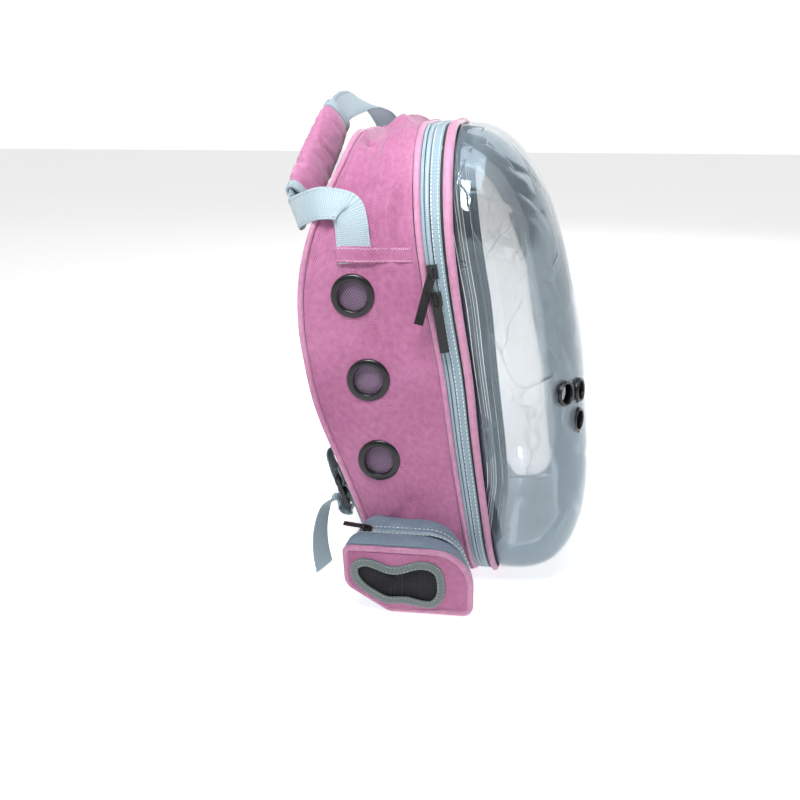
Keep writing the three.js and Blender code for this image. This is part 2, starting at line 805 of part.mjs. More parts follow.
function ventDisc(vent, radius, halfLength) {
  const geometry = new THREE.CylinderGeometry(radius, radius, 2 * halfLength, ventSides);
  geometry.rotateX(Math.PI / 2);
  geometry.applyMatrix4(ventFrame(vent));
  return solid(geometry);
}

function addVents() {
  for (const vent of vents) {
    const barrel = ventDisc(vent, ventHoleRadius + ventBarrelWall, domeWall + ventFlange);
    const bore = ventDisc(vent, ventHoleRadius, 6 * domeWall);
    const frame = ventFrame(vent);
    const low = vector(-ventRadius, -ventRadius, domeWall + clearance);
    const high = vector(ventRadius, ventRadius, domeWall + ventFlange);
    const flange = ventDisc(vent, ventRadius, domeWall + ventFlange).intersect(block(frame, low, high));
    add(`vent_eyelet_${vent.label}`, geometryOf(barrel.add(flange).subtract(bore)), blackPlastic);
  }
}

// The back: a piping round its edge and a crowned, padded mesh panel inside it

const panelRings = [1, 0.86, 0.62, 0.32];

function panelPoint(along, share, lift) {
  const rim = onBackSeam(along, 0, -seamPipingRadius - clearance);
  const z = bodyHeight / 2 + (rim.z - bodyHeight / 2) * share;
  return vector(rim.x * share, rimY(z) + fabricBack(z) + lift, z);
}

function panelLift(share) {
  return panelThickness + panelCrown * (1 - share * share);
}

function addBack() {
  const middle = seamPipingRadius + clearance;
  const section = (along) => roundSection(6, seamPipingRadius, (s, n) => onBackSeam(along, middle + s, n));
  add("back_piping", loopPiece(section), pinkPiping);
  const back = panelRings.map((share) => stations.map((along) => panelPoint(along, share, panelLift(share))));
  const front = panelRings.map((share) => stations.map((along) => panelPoint(along, share, clearance)));
  const middleZ = bodyHeight / 2;
  const middleY = rimY(middleZ) + fabricBack(middleZ);
  const outer = vector(0, middleY + panelLift(0), middleZ);
  const inner = vector(0, middleY + clearance, middleZ);
  add("back_panel", lidPiece(back, front, outer, inner), blackMesh);
}

// A place on the back panel's surface
function onPanel(x, z, proud) {
  const share = Math.min(1, Math.max(Math.abs(x) / (bodyWidth / 2), Math.abs(z - bodyHeight / 2) / (bodyHeight / 2)));
  return vector(x, rimY(z) + fabricBack(z) + panelLift(share) + proud, z);
}

// Side pockets

// The pocket's outline, rounded at its corners, as [y, z] pairs at a share of its reach (0 at the
// body, 1 at its face) and moved inwards by an inset
function pocketOutline(share, inset) {
  const grow = 1 + pocketFlare * share;
  const blend = (root, face) => root + (face - root) * share;
  const corners = pocketCorners.map(({ forward, up, round, rootForward = forward, rootUp = up }) => ({
    y: pocketRear - pocketLength * (blend(rootForward, forward) * grow - pocketFlare * share * pocketRearShare),
    z: pocketUnderside + pocketHeight * blend(rootUp, up) * (1 - pocketDrop * share),
    round: Math.max(round * pocketHeight - inset, 1.5),
  }));
  const count = corners.length;
  const inner = corners.map((corner, i) => {
    const before = corners[(i + count - 1) % count];
    const after = corners[(i + 1) % count];
    const a = new THREE.Vector2(corner.y - before.y, corner.z - before.z).normalize();
    const b = new THREE.Vector2(after.y - corner.y, after.z - corner.z).normalize();
    const half = Math.tan(Math.acos(Math.min(1, a.dot(b))) / 2);
    const normal = new THREE.Vector2(a.y, -a.x);
    const y = corner.y + inset * (normal.x - a.x * half);
    const z = corner.z + inset * (normal.y - a.y * half);
    return { y, z, a, b, half, round: corner.round };
  });
  const points = [];
  for (const { y, z, a, b, half, round } of inner) {
    const cornerSteps = round > 0.3 * pocketHeight - inset ? 5 : 2;
    const trim = round * half;
    const start = new THREE.Vector2(y - a.x * trim, z - a.y * trim);
    const centre = start.clone().add(new THREE.Vector2(a.y, -a.x).multiplyScalar(round));
    const turn = Math.acos(Math.min(1, a.dot(b)));
    for (let i = 0; i <= cornerSteps; i += 1) {
      const t = (-turn * i) / cornerSteps;
      const arm = start.clone().sub(centre);
      const arc = new THREE.Vector2(
        arm.x * Math.cos(t) - arm.y * Math.sin(t),
        arm.x * Math.sin(t) + arm.y * Math.cos(t),
      );
      points.push([centre.x + arc.x, centre.y + arc.y]);
    }
  }
  return points;
}

const pocketFaceX = bodyWidth / 2 + pocketReach;

// A closed band round the pocket between distances from the body's middle, with two insets
function pocketBand(side, distances, outerInset, innerInset) {
  const ring = (x, inset) => {
    const share = Math.max(0, (x - bodyWidth / 2) / pocketReach);
    return pocketOutline(share, inset).map(([y, z]) => vector(side * x, y, z));
  };
  const outer = distances.map((x) => ring(x, outerInset));
  const inner = distances.map((x) => ring(x, innerInset)).reverse();
  const rings = [...outer, ...inner];
  return loft(rings[0].map((_, i) => rings.map((points) => points[i])), true);
}

function windowPoints(grow) {
  const count = windowOutline.length;
  const middleY = pocketRear - pocketLength * windowForward;
  const middleZ = pocketUnderside + pocketHeight * windowUp;
  const raw = windowOutline.map(({ forward, up }) => new THREE.Vector2(-forward * windowLength, up * windowHeight));
  return raw.map((point, i) => {
    const tangent = raw[(i + 1) % count].clone().sub(raw[(i + count - 1) % count]).normalize();
    return [middleY + point.x - tangent.y * grow, middleZ + point.y + tangent.x * grow];
  });
}

function addPocket(side, label) {
  const zipMiddle = bodyWidth / 2 + pocketReach * pocketZipShare;
  const coilHalf = coilWidth / 2;
  const zipHalf = coilHalf + clearance;
  const bandEnd = pocketFaceX - 2 * pocketPipingRadius - clearance;
  const rootBand = solid(pocketBand(side, [pocketRootDepth, bodyWidth / 2, zipMiddle - zipHalf], 0, pocketWall));
  add(`pocket_band_${label}`, geometryOf(rootBand.subtract(envelope)), greyZip);
  add(`pocket_rim_${label}`, pocketBand(side, [zipMiddle + zipHalf, bandEnd], 0, pocketWall), greyZip);
  const coil = [zipMiddle - coilHalf, zipMiddle + coilHalf];
  add(`pocket_coil_${label}`, pocketBand(side, coil, -coilProud, pocketWall - coilProud), greyZip);
  addPocketFace(side, label);
}

function addPocketFace(side, label) {
  const middleX = side * (pocketFaceX - pocketPipingRadius);
  const centreline = pocketOutline(1, pocketPipingRadius);
  const count = centreline.length;
  const rows = centreline.map(([y, z], i) => {
    const [beforeY, beforeZ] = centreline[(i + count - 1) % count];
    const [afterY, afterZ] = centreline[(i + 1) % count];
    const tangent = new THREE.Vector2(afterY - beforeY, afterZ - beforeZ).normalize();
    return roundSection(6, pocketPipingRadius, (s, n) => vector(middleX + s, y + tangent.y * n, z - tangent.x * n));
  });
  add(`pocket_piping_${label}`, loft(rows, true), pinkPiping);
  const plate = (points, hole, near, far, name, material) => {
    const ends = [side * (pocketFaceX - near), side * (pocketFaceX - far)];
    const [low, high] = [Math.min(...ends), Math.max(...ends)];
    const whole = prismAlongX(points, low, high);
    const cut = hole ? whole.subtract(prismAlongX(hole, low - 1, high + 1)) : whole;
    add(name, geometryOf(cut), material);
  };
  const faceEdge = pocketOutline(1, 2 * pocketPipingRadius + clearance);
  const nearFace = 0.9;
  const farFace = nearFace + pocketWall;
  plate(faceEdge, windowPoints(0), nearFace, farFace, `pocket_face_${label}`, pinkFabric);
  const rimFar = nearFace - clearance;
  const rimNear = rimFar - windowBindingThickness;
  const rim = windowPoints(windowBinding * 0.6);
  plate(rim, windowPoints(-windowBinding * 0.4), rimNear, rimFar, `pocket_window_rim_${label}`, greyZip);
  const meshNear = farFace + clearance;
  plate(windowPoints(windowBinding * 0.6), null, meshNear, meshNear + screenThickness, `pocket_mesh_${label}`, blackMesh);
}

// Webbing and straps

// A flat ribbon through rows of { at, width } with its width square to its run
function ribbon(rows, width, thickness, edge) {
  const last = rows.length - 1;
  const sections = rows.map(({ at, across, scale = 1 }, i) => {
    const run = rows[Math.min(i + 1, last)].at.clone().sub(rows[Math.max(i - 1, 0)].at).normalize();
    const level = across.clone().addScaledVector(run, -across.dot(run)).normalize();
    const out = run.clone().cross(level);
    let stretch = 1;
    if (i > 0 && i < last) {
      const a = at.clone().sub(rows[i - 1].at).normalize();
      stretch = 1 / Math.max(0.6, a.dot(run));
    }
    const w = (width * scale) / 2;
    const t = (thickness / 2) * stretch;
    const corner = (s, n) => at.clone().addScaledVector(level, s).addScaledVector(out, n);
    if (!edge) return [corner(-w, -t), corner(w, -t), corner(w, t), corner(-w, t)];
    const e = edge * thickness;
    return [corner(-w + e, -t), corner(w - e, -t), corner(w, 0), corner(w - e, t), corner(-w + e, t), corner(-w, 0)];
  });
  return loft(sections, false);
}

// Rows smoothed through a table's places, with its width directions blended
function smoothRows(places, widths, steps) {
  const curve = new THREE.CatmullRomCurve3(places, false, "centripetal");
  const rows = [];
  for (let i = 0; i < places.length - 1; i += 1) {
    for (let j = 0; j < steps; j += 1) {
      const t = j / steps;
      rows.push({ at: curve.getPoint((i + t) / (places.length - 1)), across: widths[i].clone().lerp(widths[i + 1], t) });
    }
  }
  rows.push({ at: places[places.length - 1], across: widths[widths.length - 1] });
  return rows;
}

function handlePlace({ side, proud, across, behind, height }) {
  const z = height * bodyHeight;
  if (!side) return vector((across * bodyWidth) / 2, rimY(z) + behind * bodyDepth, z);
  const front = fabricFront(z);
  const share = (behind * bodyDepth - front) / (fabricBack(z) - front);
  return onFabric(alongAtHeight(z, side), share, proud);
}

function addHandle() {
  const places = handlePath.map(handlePlace);
  const widths = handlePath.map(({ width }) => vector(...width));
  const near = smoothRows(places.slice(0, gripFromRow + 1), widths.slice(0, gripFromRow + 1), 2);
  const far = smoothRows(places.slice(gripToRow), widths.slice(gripToRow), 2);
  add("handle_webbing", ribbon([...near, ...far], webbingWidth, webbingThickness, 0), greyWebbing);
  const start = places[gripFromRow];
  const end = places[gripToRow];
  const run = end.clone().sub(start).normalize();
  const level = widths[gripFromRow].clone();
  level.addScaledVector(run, -level.dot(run)).normalize();
  const out = run.clone().cross(level);
  const length = end.distanceTo(start);
  const oval = (distance, half, thick, sides) =>
    Array.from({ length: sides }, (_, i) => {
      const turn = (2 * Math.PI * i) / sides;
      const place = start.clone().addScaledVector(run, distance);
      return place.addScaledVector(level, half * Math.cos(turn)).addScaledVector(out, thick * Math.sin(turn));
    });
  const halfInside = webbingWidth / 2 + 1;
  const tube = (from, to, half, thick) => {
    const bulge = 1.5;
    const middle = (from + to) / 2;
    const outer = (d, more) => oval(d, half + gripWall + more, thick + gripWall + more, 12);
    const inner = (d) => oval(d, half, thick, 12);
    const rings = [outer(from, 0), outer(middle, to - from > 3 * gripTrim ? bulge : 0), outer(to, 0), inner(to), inner(from)];
    return loft(rings[0].map((_, i) => rings.map((points) => points[i])), true);
  };
  add("grip_trim_near", tube(0, gripTrim, halfInside, 5), greyWebbing);
  add("grip_pad", tube(gripTrim + clearance, length - gripTrim - clearance, halfInside, 5), pinkFabric);
  add("grip_trim_far", tube(length - gripTrim, length, halfInside, 5), greyWebbing);
}

// The stitched patch of fabric over each end of the handle's webbing
function addHandlePatch(side, label) {
  const steps = 2;
  const rows = Array.from({ length: steps + 1 }, (_, i) => {
    const z = anchorTapeLow + (anchorTapeHeight * i) / steps;
    const along = alongAtHeight(z, side);
    const front = fabricFront(z);
    const width = fabricBack(z) - front;
    const half = webbingWidth / 2;
    const reach = [front + anchorTapeFront, handleBehind - half - anchorTapeFront, handleBehind + half + 2];
    const low = reach.map((behind) => onFabric(along, (behind - front) / width, anchorTapeProud));
    const high = reach.map((behind) => onFabric(along, (behind - front) / width, anchorTapeProud + anchorTapeThickness));
    return [...low, ...high.reverse()];
  });
  add(`handle_patch_${label}`, loft(rows, false), pinkFabric);
}

// A shoulder strap: a padded run down the back, webbing to a ladder lock, and webbing from the
// body's lower corner up through the lock to a loose tail
function addStrap(side, label) {
  const place = ({ across, height }) => onPanel((-side * across * bodyWidth) / 2, height * bodyHeight, strapThickness / 2 + 2);
  const padPlaces = strapPath.map(place);
  const across = vector(side, 0, 0);
  const padRows = strapPath.map(({ width }, i) => ({ at: padPlaces[i], across, scale: width }));
  add(`strap_pad_${label}`, ribbon(padRows, strapWidth, strapThickness, 0.35), pinkFabric);

  const top = onPanel(side * lockAcross, lockTopHeight, lockStandoff);
  const lowZ = lockTopHeight - lockHeight;
  const low = onPanel(side * lockAcross, lowZ, lockStandoff);
  const down = low.clone().sub(top).normalize();
  const out = vector(1, 0, 0).cross(down).normalize();
  if (out.y < 0) out.negate();
  const frame = new THREE.Matrix4().makeBasis(vector(1, 0, 0), down, out).setPosition(top);
  const half = lockThickness / 2;
  const right = frame.determinant() < 0 ? -1 : 1;
  const basis = new THREE.Matrix4().makeBasis(vector(right, 0, 0), down, out).setPosition(top);
  const box = (x0, v0, x1, v1, t) => block(basis, vector(x0, v0, -t), vector(x1, v1, t));
  const slots = (lockHeight - 3 * lockBar) / 2;
  let lock = box(-lockWidth / 2, 0, lockWidth / 2, lockHeight, half);
  for (const start of [lockBar, 2 * lockBar + slots]) {
    lock = lock.subtract(box(-lockSlotWidth / 2, start, lockSlotWidth / 2, start + slots, half + 1));
  }
  add(`ladder_lock_${label}`, geometryOf(lock), blackPlastic);

  const at = (v, n) => top.clone().addScaledVector(down, v).addScaledVector(out, n);
  const wide = vector(side, 0, 0);
  const over = half + clearance + strapWebbingThickness / 2;
  const firstSlot = lockBar + slots / 2;
  const secondSlot = 2 * lockBar + slots + slots / 2;
  const padEnd = padPlaces[padPlaces.length - 1].clone();
  const leave = padPlaces[padPlaces.length - 2];
  const off = padEnd.clone().sub(leave).normalize();
  padEnd.addScaledVector(off, strapThickness * 0.3).add(vector(0, 1, 0));
  const bridge = [
    { at: padEnd, across: wide },
    { at: padEnd.clone().lerp(at(-6, over), 0.5).add(vector(0, 4, 0)), across: wide },
    { at: at(-6, over), across: wide },
    { at: at(lockBar / 2, over), across: wide },
    { at: at(firstSlot - 1.2, over), across: wide },
    { at: at(firstSlot - 1.2, -over - 0.1), across: wide },
    { at: at(lockBar / 2, -over - 0.2), across: wide },
    { at: at(-lockLead, -over - 0.2), across: wide },
  ];
  add(`strap_bridge_${label}`, ribbon(bridge, strapWebbingWidth, strapWebbingThickness, 0), greyWebbing);

  const under = over + strapWebbingThickness + clearance;
  const foot = onPanel(side * (lockAcross + footOutward), footHeight, 3);
  const lower = at(lockHeight, 0);
  const load = [
    { at: foot, across: wide },
    { at: foot.clone().lerp(at(lockHeight + lockLead, -under), 0.5), across: wide },
    { at: at(lockHeight + 4, -under), across: wide },
    { at: at(firstSlot + 5, -under), across: wide },
    { at: at(firstSlot + 1.6, -over), across: wide },
    { at: at(firstSlot + 1.5, over * 0.9), across: wide },
    { at: at(firstSlot + 4, over + 0.5), across: wide },
    { at: at(secondSlot - 3, over + 0.5), across: wide },
    { at: at(secondSlot - 0.4, over * 0.7), across: wide },
    { at: at(secondSlot + 0.2, -over + 0.2), across: wide },
    { at: at(lockHeight - lockBar / 2, -over - 0.1), across: wide },
    { at: at(lockHeight + 3, -over - 0.1), across: wide },
  ];
  const tailPlaces = tailPath.map(({ x, y, z }) =>
    lower.clone().add(vector(-side * x * tailReach, y * tailReach, z * tailReach)),
  );
  const tailWidths = tailPath.map(({ width: [x, y, z] }) => vector(-side * x, y, z));
  tailPlaces.unshift(at(lockHeight + 3, -over - 0.1));
  tailWidths.unshift(wide);
  const tail = smoothRows(tailPlaces, tailWidths, 2).slice(1);
  add(`strap_webbing_${label}`, ribbon([...load, ...tail], strapWebbingWidth, strapWebbingThickness, 0), greyWebbing);
}

// Zip sliders with hinged pulls

// A slider in a frame whose directions are: along the zip, across it, and out of it
function sliderSolid(frame, scale) {
  const half = (sliderLength * scale) / 2;
  const wide = (sliderWidth * scale) / 2;
  const bar = bailBar * scale;
  const reach = (bailLength * scale) / 2;
  const top = sliderThickness * scale;
  const high = top + bailHeight * scale;
  let slider = block(frame, vector(-half, -wide, 0), vector(half, wide, top));
  slider = slider.add(block(frame, vector(-reach, -bar / 2, top - 0.5), vector(reach, bar / 2, high)));
  const gapLow = vector(-reach + bar, -bar, top);
  const gapHigh = vector(reach - bar, bar, high - bar);
  return slider.subtract(block(frame, gapLow, gapHigh));
}

// A pull hanging from its slider's bail, swung out of the zip's face and turned within it
function pullSolid(frame, scale, length, swing, turn) {
  const wide = (pullWidth * scale) / 2;
  const half = (pullThickness * scale) / 2;
  const bar = pullBar * scale;
  const opening = pullWindow * scale;
  const pivot = sliderThickness * scale + half + clearance * 1.5;
  const place = frame
    .clone()
    .multiply(new THREE.Matrix4().makeTranslation(0, 0, pivot))
    .multiply(new THREE.Matrix4().makeRotationZ(turn))
    .multiply(new THREE.Matrix4().makeRotationY(-swing));
  const plate = block(place, vector(-bar / 2, -wide, -half), vector(length, wide, half));
  const inner = wide - bar;
  return plate.subtract(block(place, vector(bar / 2, -inner, -half - 1), vector(bar / 2 + opening, inner, half + 1)));
}

// A frame on the main zip of the left side, with its first direction down the zip
function zipFrame(height) {
  const middle = coilStart + coilWidth / 2;
  const along = alongAtHeight(height, -1);
  const here = onBand(along, middle, coilThickness / 2 + clearance);
  const below = onBand(along - 8, middle, coilThickness / 2 + clearance);
  const down = below.sub(here).normalize();
  const out = vector(-1, 0, 0);
  return new THREE.Matrix4().makeBasis(down, out.clone().cross(down), out).setPosition(here);
}

const mainSliders = [
  { label: "upper", height: 0.718, swing: 0.36, turn: 0.38 },
  { label: "lower", height: 0.662, swing: 0.1, turn: 0 },
];

function addMainSliders() {
  for (const { label, height, swing, turn } of mainSliders) {
    const frame = zipFrame(height * bodyHeight);
    add(`zip_slider_${label}`, geometryOf(sliderSolid(frame, 1)), blackPlastic);
    add(`zip_pull_${label}`, geometryOf(pullSolid(frame, 1, pullLength, swing, -turn)), blackPlastic);
  }
}

const pocketSliderScale = 0.7;
const pocketSliderForward = 0.01; // its place on the zip, as a share of the pocket's length

// A frame on a pocket's zip, with its first direction towards the back
function pocketZipFrame(side) {
  const x = side * (bodyWidth / 2 + pocketReach * pocketZipShare);
  const y = pocketRear - pocketSliderForward * pocketLength;
  const top = pocketUnderside + pocketHeight * (1 - pocketDrop * pocketZipShare);
  const out = vector((side * pocketDrop * pocketHeight) / pocketReach, 0, 1).normalize();
  const run = vector(0, 1, 0);
  const frame = new THREE.Matrix4().makeBasis(run, out.clone().cross(run), out);
  return frame.setPosition(vector(x, y, top).addScaledVector(out, coilProud + clearance));
}

function addPocketSlider(side, label) {
  const frame = pocketZipFrame(side);
  add(`pocket_slider_${label}`, geometryOf(sliderSolid(frame, pocketSliderScale)), blackPlastic);
  const pull = pullSolid(frame, pocketSliderScale, pocketPullLength, 0.12, 0);
  add(`pocket_pull_${label}`, geometryOf(pull), blackPlastic);
}

addFabricBody();
for (const [side, label] of [
  [-1, "left"],
  [1, "right"],
]) {
  addGrommets(side, label);
  addVentScreen(side, label);
  addPocket(side, label);
  addPocketSlider(side, label);
  addHandlePatch(side, label);
  addStrap(side, label);
}
addZipBand();
addDome();
addVents();
addBack();
addHandle();
addMainSliders();

export default carrier;
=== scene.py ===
"""Dresses the bubble pet carrier backpack: fabric, pipings, zips, clear dome, mesh, webbing and hardware.

Every surface is worked out in the carrier's own millimetres and turned to metres when its mesh is made.
Points sewn to the body are placed by three numbers: the distance along the body's outline from the top
middle (negative down the left side), the distance behind the dome's rim, and how proud they stand.
"""

import logging
import math
from dataclasses import dataclass
from enum import Enum

import bpy
import numpy as np
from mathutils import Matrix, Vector


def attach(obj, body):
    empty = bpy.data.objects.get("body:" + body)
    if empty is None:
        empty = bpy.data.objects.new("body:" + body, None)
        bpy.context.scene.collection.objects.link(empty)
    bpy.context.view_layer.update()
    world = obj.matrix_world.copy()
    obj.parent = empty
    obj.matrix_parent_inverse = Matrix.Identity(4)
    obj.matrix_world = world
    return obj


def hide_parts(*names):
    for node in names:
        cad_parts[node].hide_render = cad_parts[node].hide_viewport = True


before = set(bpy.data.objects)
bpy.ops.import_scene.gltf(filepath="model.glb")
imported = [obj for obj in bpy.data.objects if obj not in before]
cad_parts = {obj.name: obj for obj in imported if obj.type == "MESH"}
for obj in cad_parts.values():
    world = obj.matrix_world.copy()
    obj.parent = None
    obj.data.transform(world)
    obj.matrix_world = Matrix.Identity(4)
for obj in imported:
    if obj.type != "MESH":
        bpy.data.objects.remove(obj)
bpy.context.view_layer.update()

logging.basicConfig(level=logging.INFO, format="%(message)s")
LOG = logging.getLogger("carrier")

Array = np.ndarray
Socket = bpy.types.NodeSocket
Piece = bpy.types.Object

MM = 0.001
ROOT = "carrier"
CLOSED = (True, True)
OPEN = (False, True)
TAU = 2 * math.pi
WAVES = 9


class Side(Enum):
    """A side of the carrier, as its wearer has it: the value is the sign of X."""

    LEFT = -1
    RIGHT = 1

    @property
    def label(self) -> str:
        """The side's name as the CAD nodes spell it."""
        return self.name.lower()


# Numbers and arrays


def read_table(keys: list, values: list, at: Array) -> Array:
    """Reads a table smoothly: a cubic between each two rows, whose slopes come from the rows' neighbours.

    Args:
        keys: the rows' rising keys.
        values: the rows' values.
        at: where to read, clamped to the keys.

    Returns:
        The values, in the shape of at.
    """
    k = np.asarray(keys, float)
    v = np.asarray(values, float)
    x = np.clip(at, k[0], k[-1])
    i = np.clip(np.searchsorted(k, x, side="right") - 1, 0, len(k) - 2)
    low = np.maximum(np.arange(len(k)) - 1, 0)
    high = np.minimum(np.arange(len(k)) + 1, len(k) - 1)
    slope = (v[high] - v[low]) / (k[high] - k[low])
    step = k[i + 1] - k[i]
    t = (x - k[i]) / step
    start = (1 + 2 * t) * (1 - t) ** 2 * v[i] + t * (1 - t) ** 2 * step * slope[i]
    end = t * t * (3 - 2 * t) * v[i + 1] + t * t * (t - 1) * step * slope[i + 1]
    return start + end


def smooth_step(share: Array) -> Array:
    """Rises from 0 to 1 with level ends."""
    t = np.clip(share, 0, 1)
    return t * t * (3 - 2 * t)


def lifted(x: Array, y: Array, z: Array) -> Array:
    """Joins three coordinates, each spread to the others' shape."""
    return np.stack(np.broadcast_arrays(x, y, z), -1)


def unit(vectors: Array) -> Array:
    """Scales vectors on the last axis to length 1."""
    return vectors / np.maximum(np.linalg.norm(vectors, axis=-1, keepdims=True), 1e-9)


def ripple(u: Array, v: Array, size: float, seed: int) -> Array:
    """A soft random relief: the mean of sine waves in seeded directions and phases.

    Args:
        u: the first coordinate in mm.
        v: the second coordinate in mm.
        size: the typical wave length in mm.
        seed: the seed of the directions and phases.

    Returns:
        Heights from about -1 to 1, in the shape of u and v together.
    """
    rng = np.random.default_rng(seed)
    total = np.zeros(np.broadcast(u, v).shape)
    for _ in range(WAVES):
        turn = rng.uniform(0, TAU)
        length = size * rng.uniform(0.6, 1.6)
        phase = rng.uniform(0, TAU)
        total = total + np.sin(TAU * (u * math.cos(turn) + v * math.sin(turn)) / length + phase)
    return total / math.sqrt(WAVES * 2)


def ridge(u: Array, v: Array, line: tuple, width: float) -> Array:
    """A crease: 1 along a line given as its two ends' places, falling off as a bell curve of a half width."""
    start_u, start_v, end_u, end_v = line
    run_u, run_v = end_u - start_u, end_v - start_v
    t = np.clip(((u - start_u) * run_u + (v - start_v) * run_v) / (run_u**2 + run_v**2), 0, 1)
    off = (u - start_u - t * run_u) ** 2 + (v - start_v - t * run_v) ** 2
    return np.exp(-off / width**2)


# Meshes


def placed(name: str, data: bpy.types.ID) -> Piece:
    """Makes an object of a mesh, light or camera, and puts it in the scene."""
    piece = bpy.data.objects.new(name, data)
    bpy.context.scene.collection.objects.link(piece)
    return piece


def mesh_object(name: str, points: Array, faces: Array, uv: Array | None) -> Piece:
    """Makes a piece from points in mm and quads, its faces turned outwards, and lets it ride on the carrier.

    Args:
        name: the piece's name.
        points: (N, 3) places in mm.
        faces: (F, 4) indices.
        uv: (F, 4, 2) texture places in mm, one per face corner, or None.

    Returns:
        The new object, at the origin.
    """
    p = np.asarray(points, float) * MM
    first, second, third, fourth = (p[faces[:, k]] for k in range(4))
    if np.sum(first * (np.cross(second, third) + np.cross(third, fourth))) < 0:
        faces = faces[:, ::-1]
        uv = None if uv is None else uv[:, ::-1]
    mesh = bpy.data.meshes.new(name)
    mesh.vertices.add(len(p))
    mesh.vertices.foreach_set("co", p.astype(np.float32).ravel())
    mesh.loops.add(faces.size)
    mesh.loops.foreach_set("vertex_index", faces.astype(np.int32).ravel())
    mesh.polygons.add(len(faces))
    mesh.polygons.foreach_set("loop_start", np.arange(0, faces.size, 4, dtype=np.int32))
    mesh.update(calc_edges=True)
    mesh.polygons.foreach_set("use_smooth", np.ones(len(faces), bool))
    if uv is not None:
        layer = mesh.uv_layers.new(name="Cloth")
        layer.data.foreach_set("uv", (uv * MM).astype(np.float32).ravel())
    mesh.validate()
    piece = placed(name, mesh)
    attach(piece, ROOT)
    return piece


def grid_faces(rows: int, columns: int, wrap_rows: bool, wrap_columns: bool) -> tuple[Array, Array]:
    """The quads of a grid of points, and the unwrapped grid place of each quad's corners.

    Returns:
        (F, 4) indices, and (F, 4, 2) row and column numbers that run on past a wrap.
    """
    r = np.arange(rows if wrap_rows else rows - 1)
    c = np.arange(columns if wrap_columns else columns - 1)
    r, c = np.meshgrid(r, c, indexing="ij")
    corner_rows = np.stack([r, r + 1, r + 1, r], -1).reshape(-1, 4)
    corner_columns = np.stack([c, c, c + 1, c + 1], -1).reshape(-1, 4)
    index = (corner_rows % rows) * columns + corner_columns % columns
    return index, np.stack([corner_rows, corner_columns], -1)


def cap_strip(count: int) -> Array:
    """The quads that close a ring of count points, as numbers round the ring."""
    j = np.arange(count // 2 - 1)
    return np.stack([j, j + 1, count - 2 - j, count - 1 - j], -1)


def closed_pan(points: Array) -> Array:
    """The quads of a grid whose rows wrap and whose first and last columns are each closed by a cap."""
    rows, columns = points.shape[:2]
    cap = cap_strip(rows) * columns
    return np.vstack([grid_faces(rows, columns, True, False)[0], cap[:, ::-1], cap + columns - 1])


def grid_uv(places: Array, u: Array, v: Array) -> Array:
    """Texture places from grid places, by each row's and each column's texture distance."""
    return np.stack([np.asarray(u)[places[..., 0]], np.asarray(v)[places[..., 1]]], -1)


def sheet_piece(name: str, points: Array, u: Array, v: Array, wrap: tuple) -> Piece:
    """Makes a piece from a grid of points; an open row of closed sections gets a cap at each end.

    Args:
        name: the piece's name.
        points: (R, C, 3) places in mm.
        u: (R,) texture distance of each row in mm, with one more where the rows wrap.
        v: (C,) texture distance of each column in mm, with one more where the columns wrap.
        wrap: whether the rows and the columns close on themselves.

    Returns:
        The piece.
    """
    rows, columns = points.shape[:2]
    faces, places = grid_faces(rows, columns, *wrap)
    uv = grid_uv(places, u, v)
    if wrap == OPEN:
        strip = cap_strip(columns)
        faces = np.vstack([faces, strip, (rows - 1) * columns + strip[:, ::-1]])
        flat = np.stack([np.asarray(v)[:columns]] * 2, -1)
        uv = np.concatenate([uv, flat[strip], flat[strip[:, ::-1]]])
    return mesh_object(name, points.reshape(-1, 3), faces, uv)


def holed_shell(outer: Array, kept: Array, far_wall: bool) -> tuple[Array, Array]:
    """Joins the two faces of a sheet round its kept cells: every edge beside a missing cell is closed.

    Args:
        outer: the outer face's (R, C, 3) grid, whose rows wrap; the inner face's points follow it.
        kept: (R, C - 1) which cells are there.
        far_wall: whether the last column is closed too.

    Returns:
        (F, 4) indices, outer cells first and inner cells next, and each corner's (F, 4, 2) grid place.
    """
    rows, columns = outer.shape[:2]
    half = rows * columns
    index = np.arange(half).reshape(rows, columns)
    faces, places = grid_faces(rows, columns, True, False)
    keep = kept.reshape(-1)
    before = np.roll(kept, 1, 0)
    padded = np.pad(kept, ((0, 0), (1, int(far_wall))))
    here, left = padded[:, 1:], padded[:, :-1]
    every = [faces[keep], (faces[keep] + half)[:, ::-1]]
    every_places = [places[keep], places[keep][:, ::-1]]
    edges = [(kept & ~before, 0, 1, 1), (~kept & before, 0, 1, -1)]
    edges += [(here & ~left, 1, 0, -1), (~here & left, 1, 0, 1)]
    for mask, down, over, order in edges:
        i, j = np.nonzero(mask)
        a, b = (index[i, j], index[(i + down) % rows, j + over])[::order]
        every.append(np.stack([a, a + half, b + half, b], -1))
        every_places.append(np.repeat(np.stack([i, j], -1)[:, None], 4, 1))
    return np.vstack(every), np.concatenate(every_places)


def used_points(points: Array, faces: Array) -> tuple[Array, Array]:
    """Leaves out the points that no face uses, and numbers the faces again."""
    used, renamed = np.unique(faces, return_inverse=True)
    return points[used], renamed.reshape(faces.shape)


def round_profile(count: int, half_width: float, half_height: float = 0.0, power: float = 2.0) -> Array:
    """A closed superellipse section of (count, 2) places, round unless a height is given."""
    turn = (np.arange(count) + 0.5) * TAU / count
    c, s = np.cos(turn), np.sin(turn)
    height = half_height or half_width
    x = half_width * np.sign(c) * np.abs(c) ** (2 / power)
    y = height * np.sign(s) * np.abs(s) ** (2 / power)
    return np.stack([x, y], -1)


def profile_lengths(profile: Array) -> Array:
    """The running distance round a closed (K, 2) profile, with its whole length at the end."""
    steps = np.linalg.norm(np.roll(profile, -1, 0) - profile, axis=1)
    return np.concatenate([[0], np.cumsum(steps)])


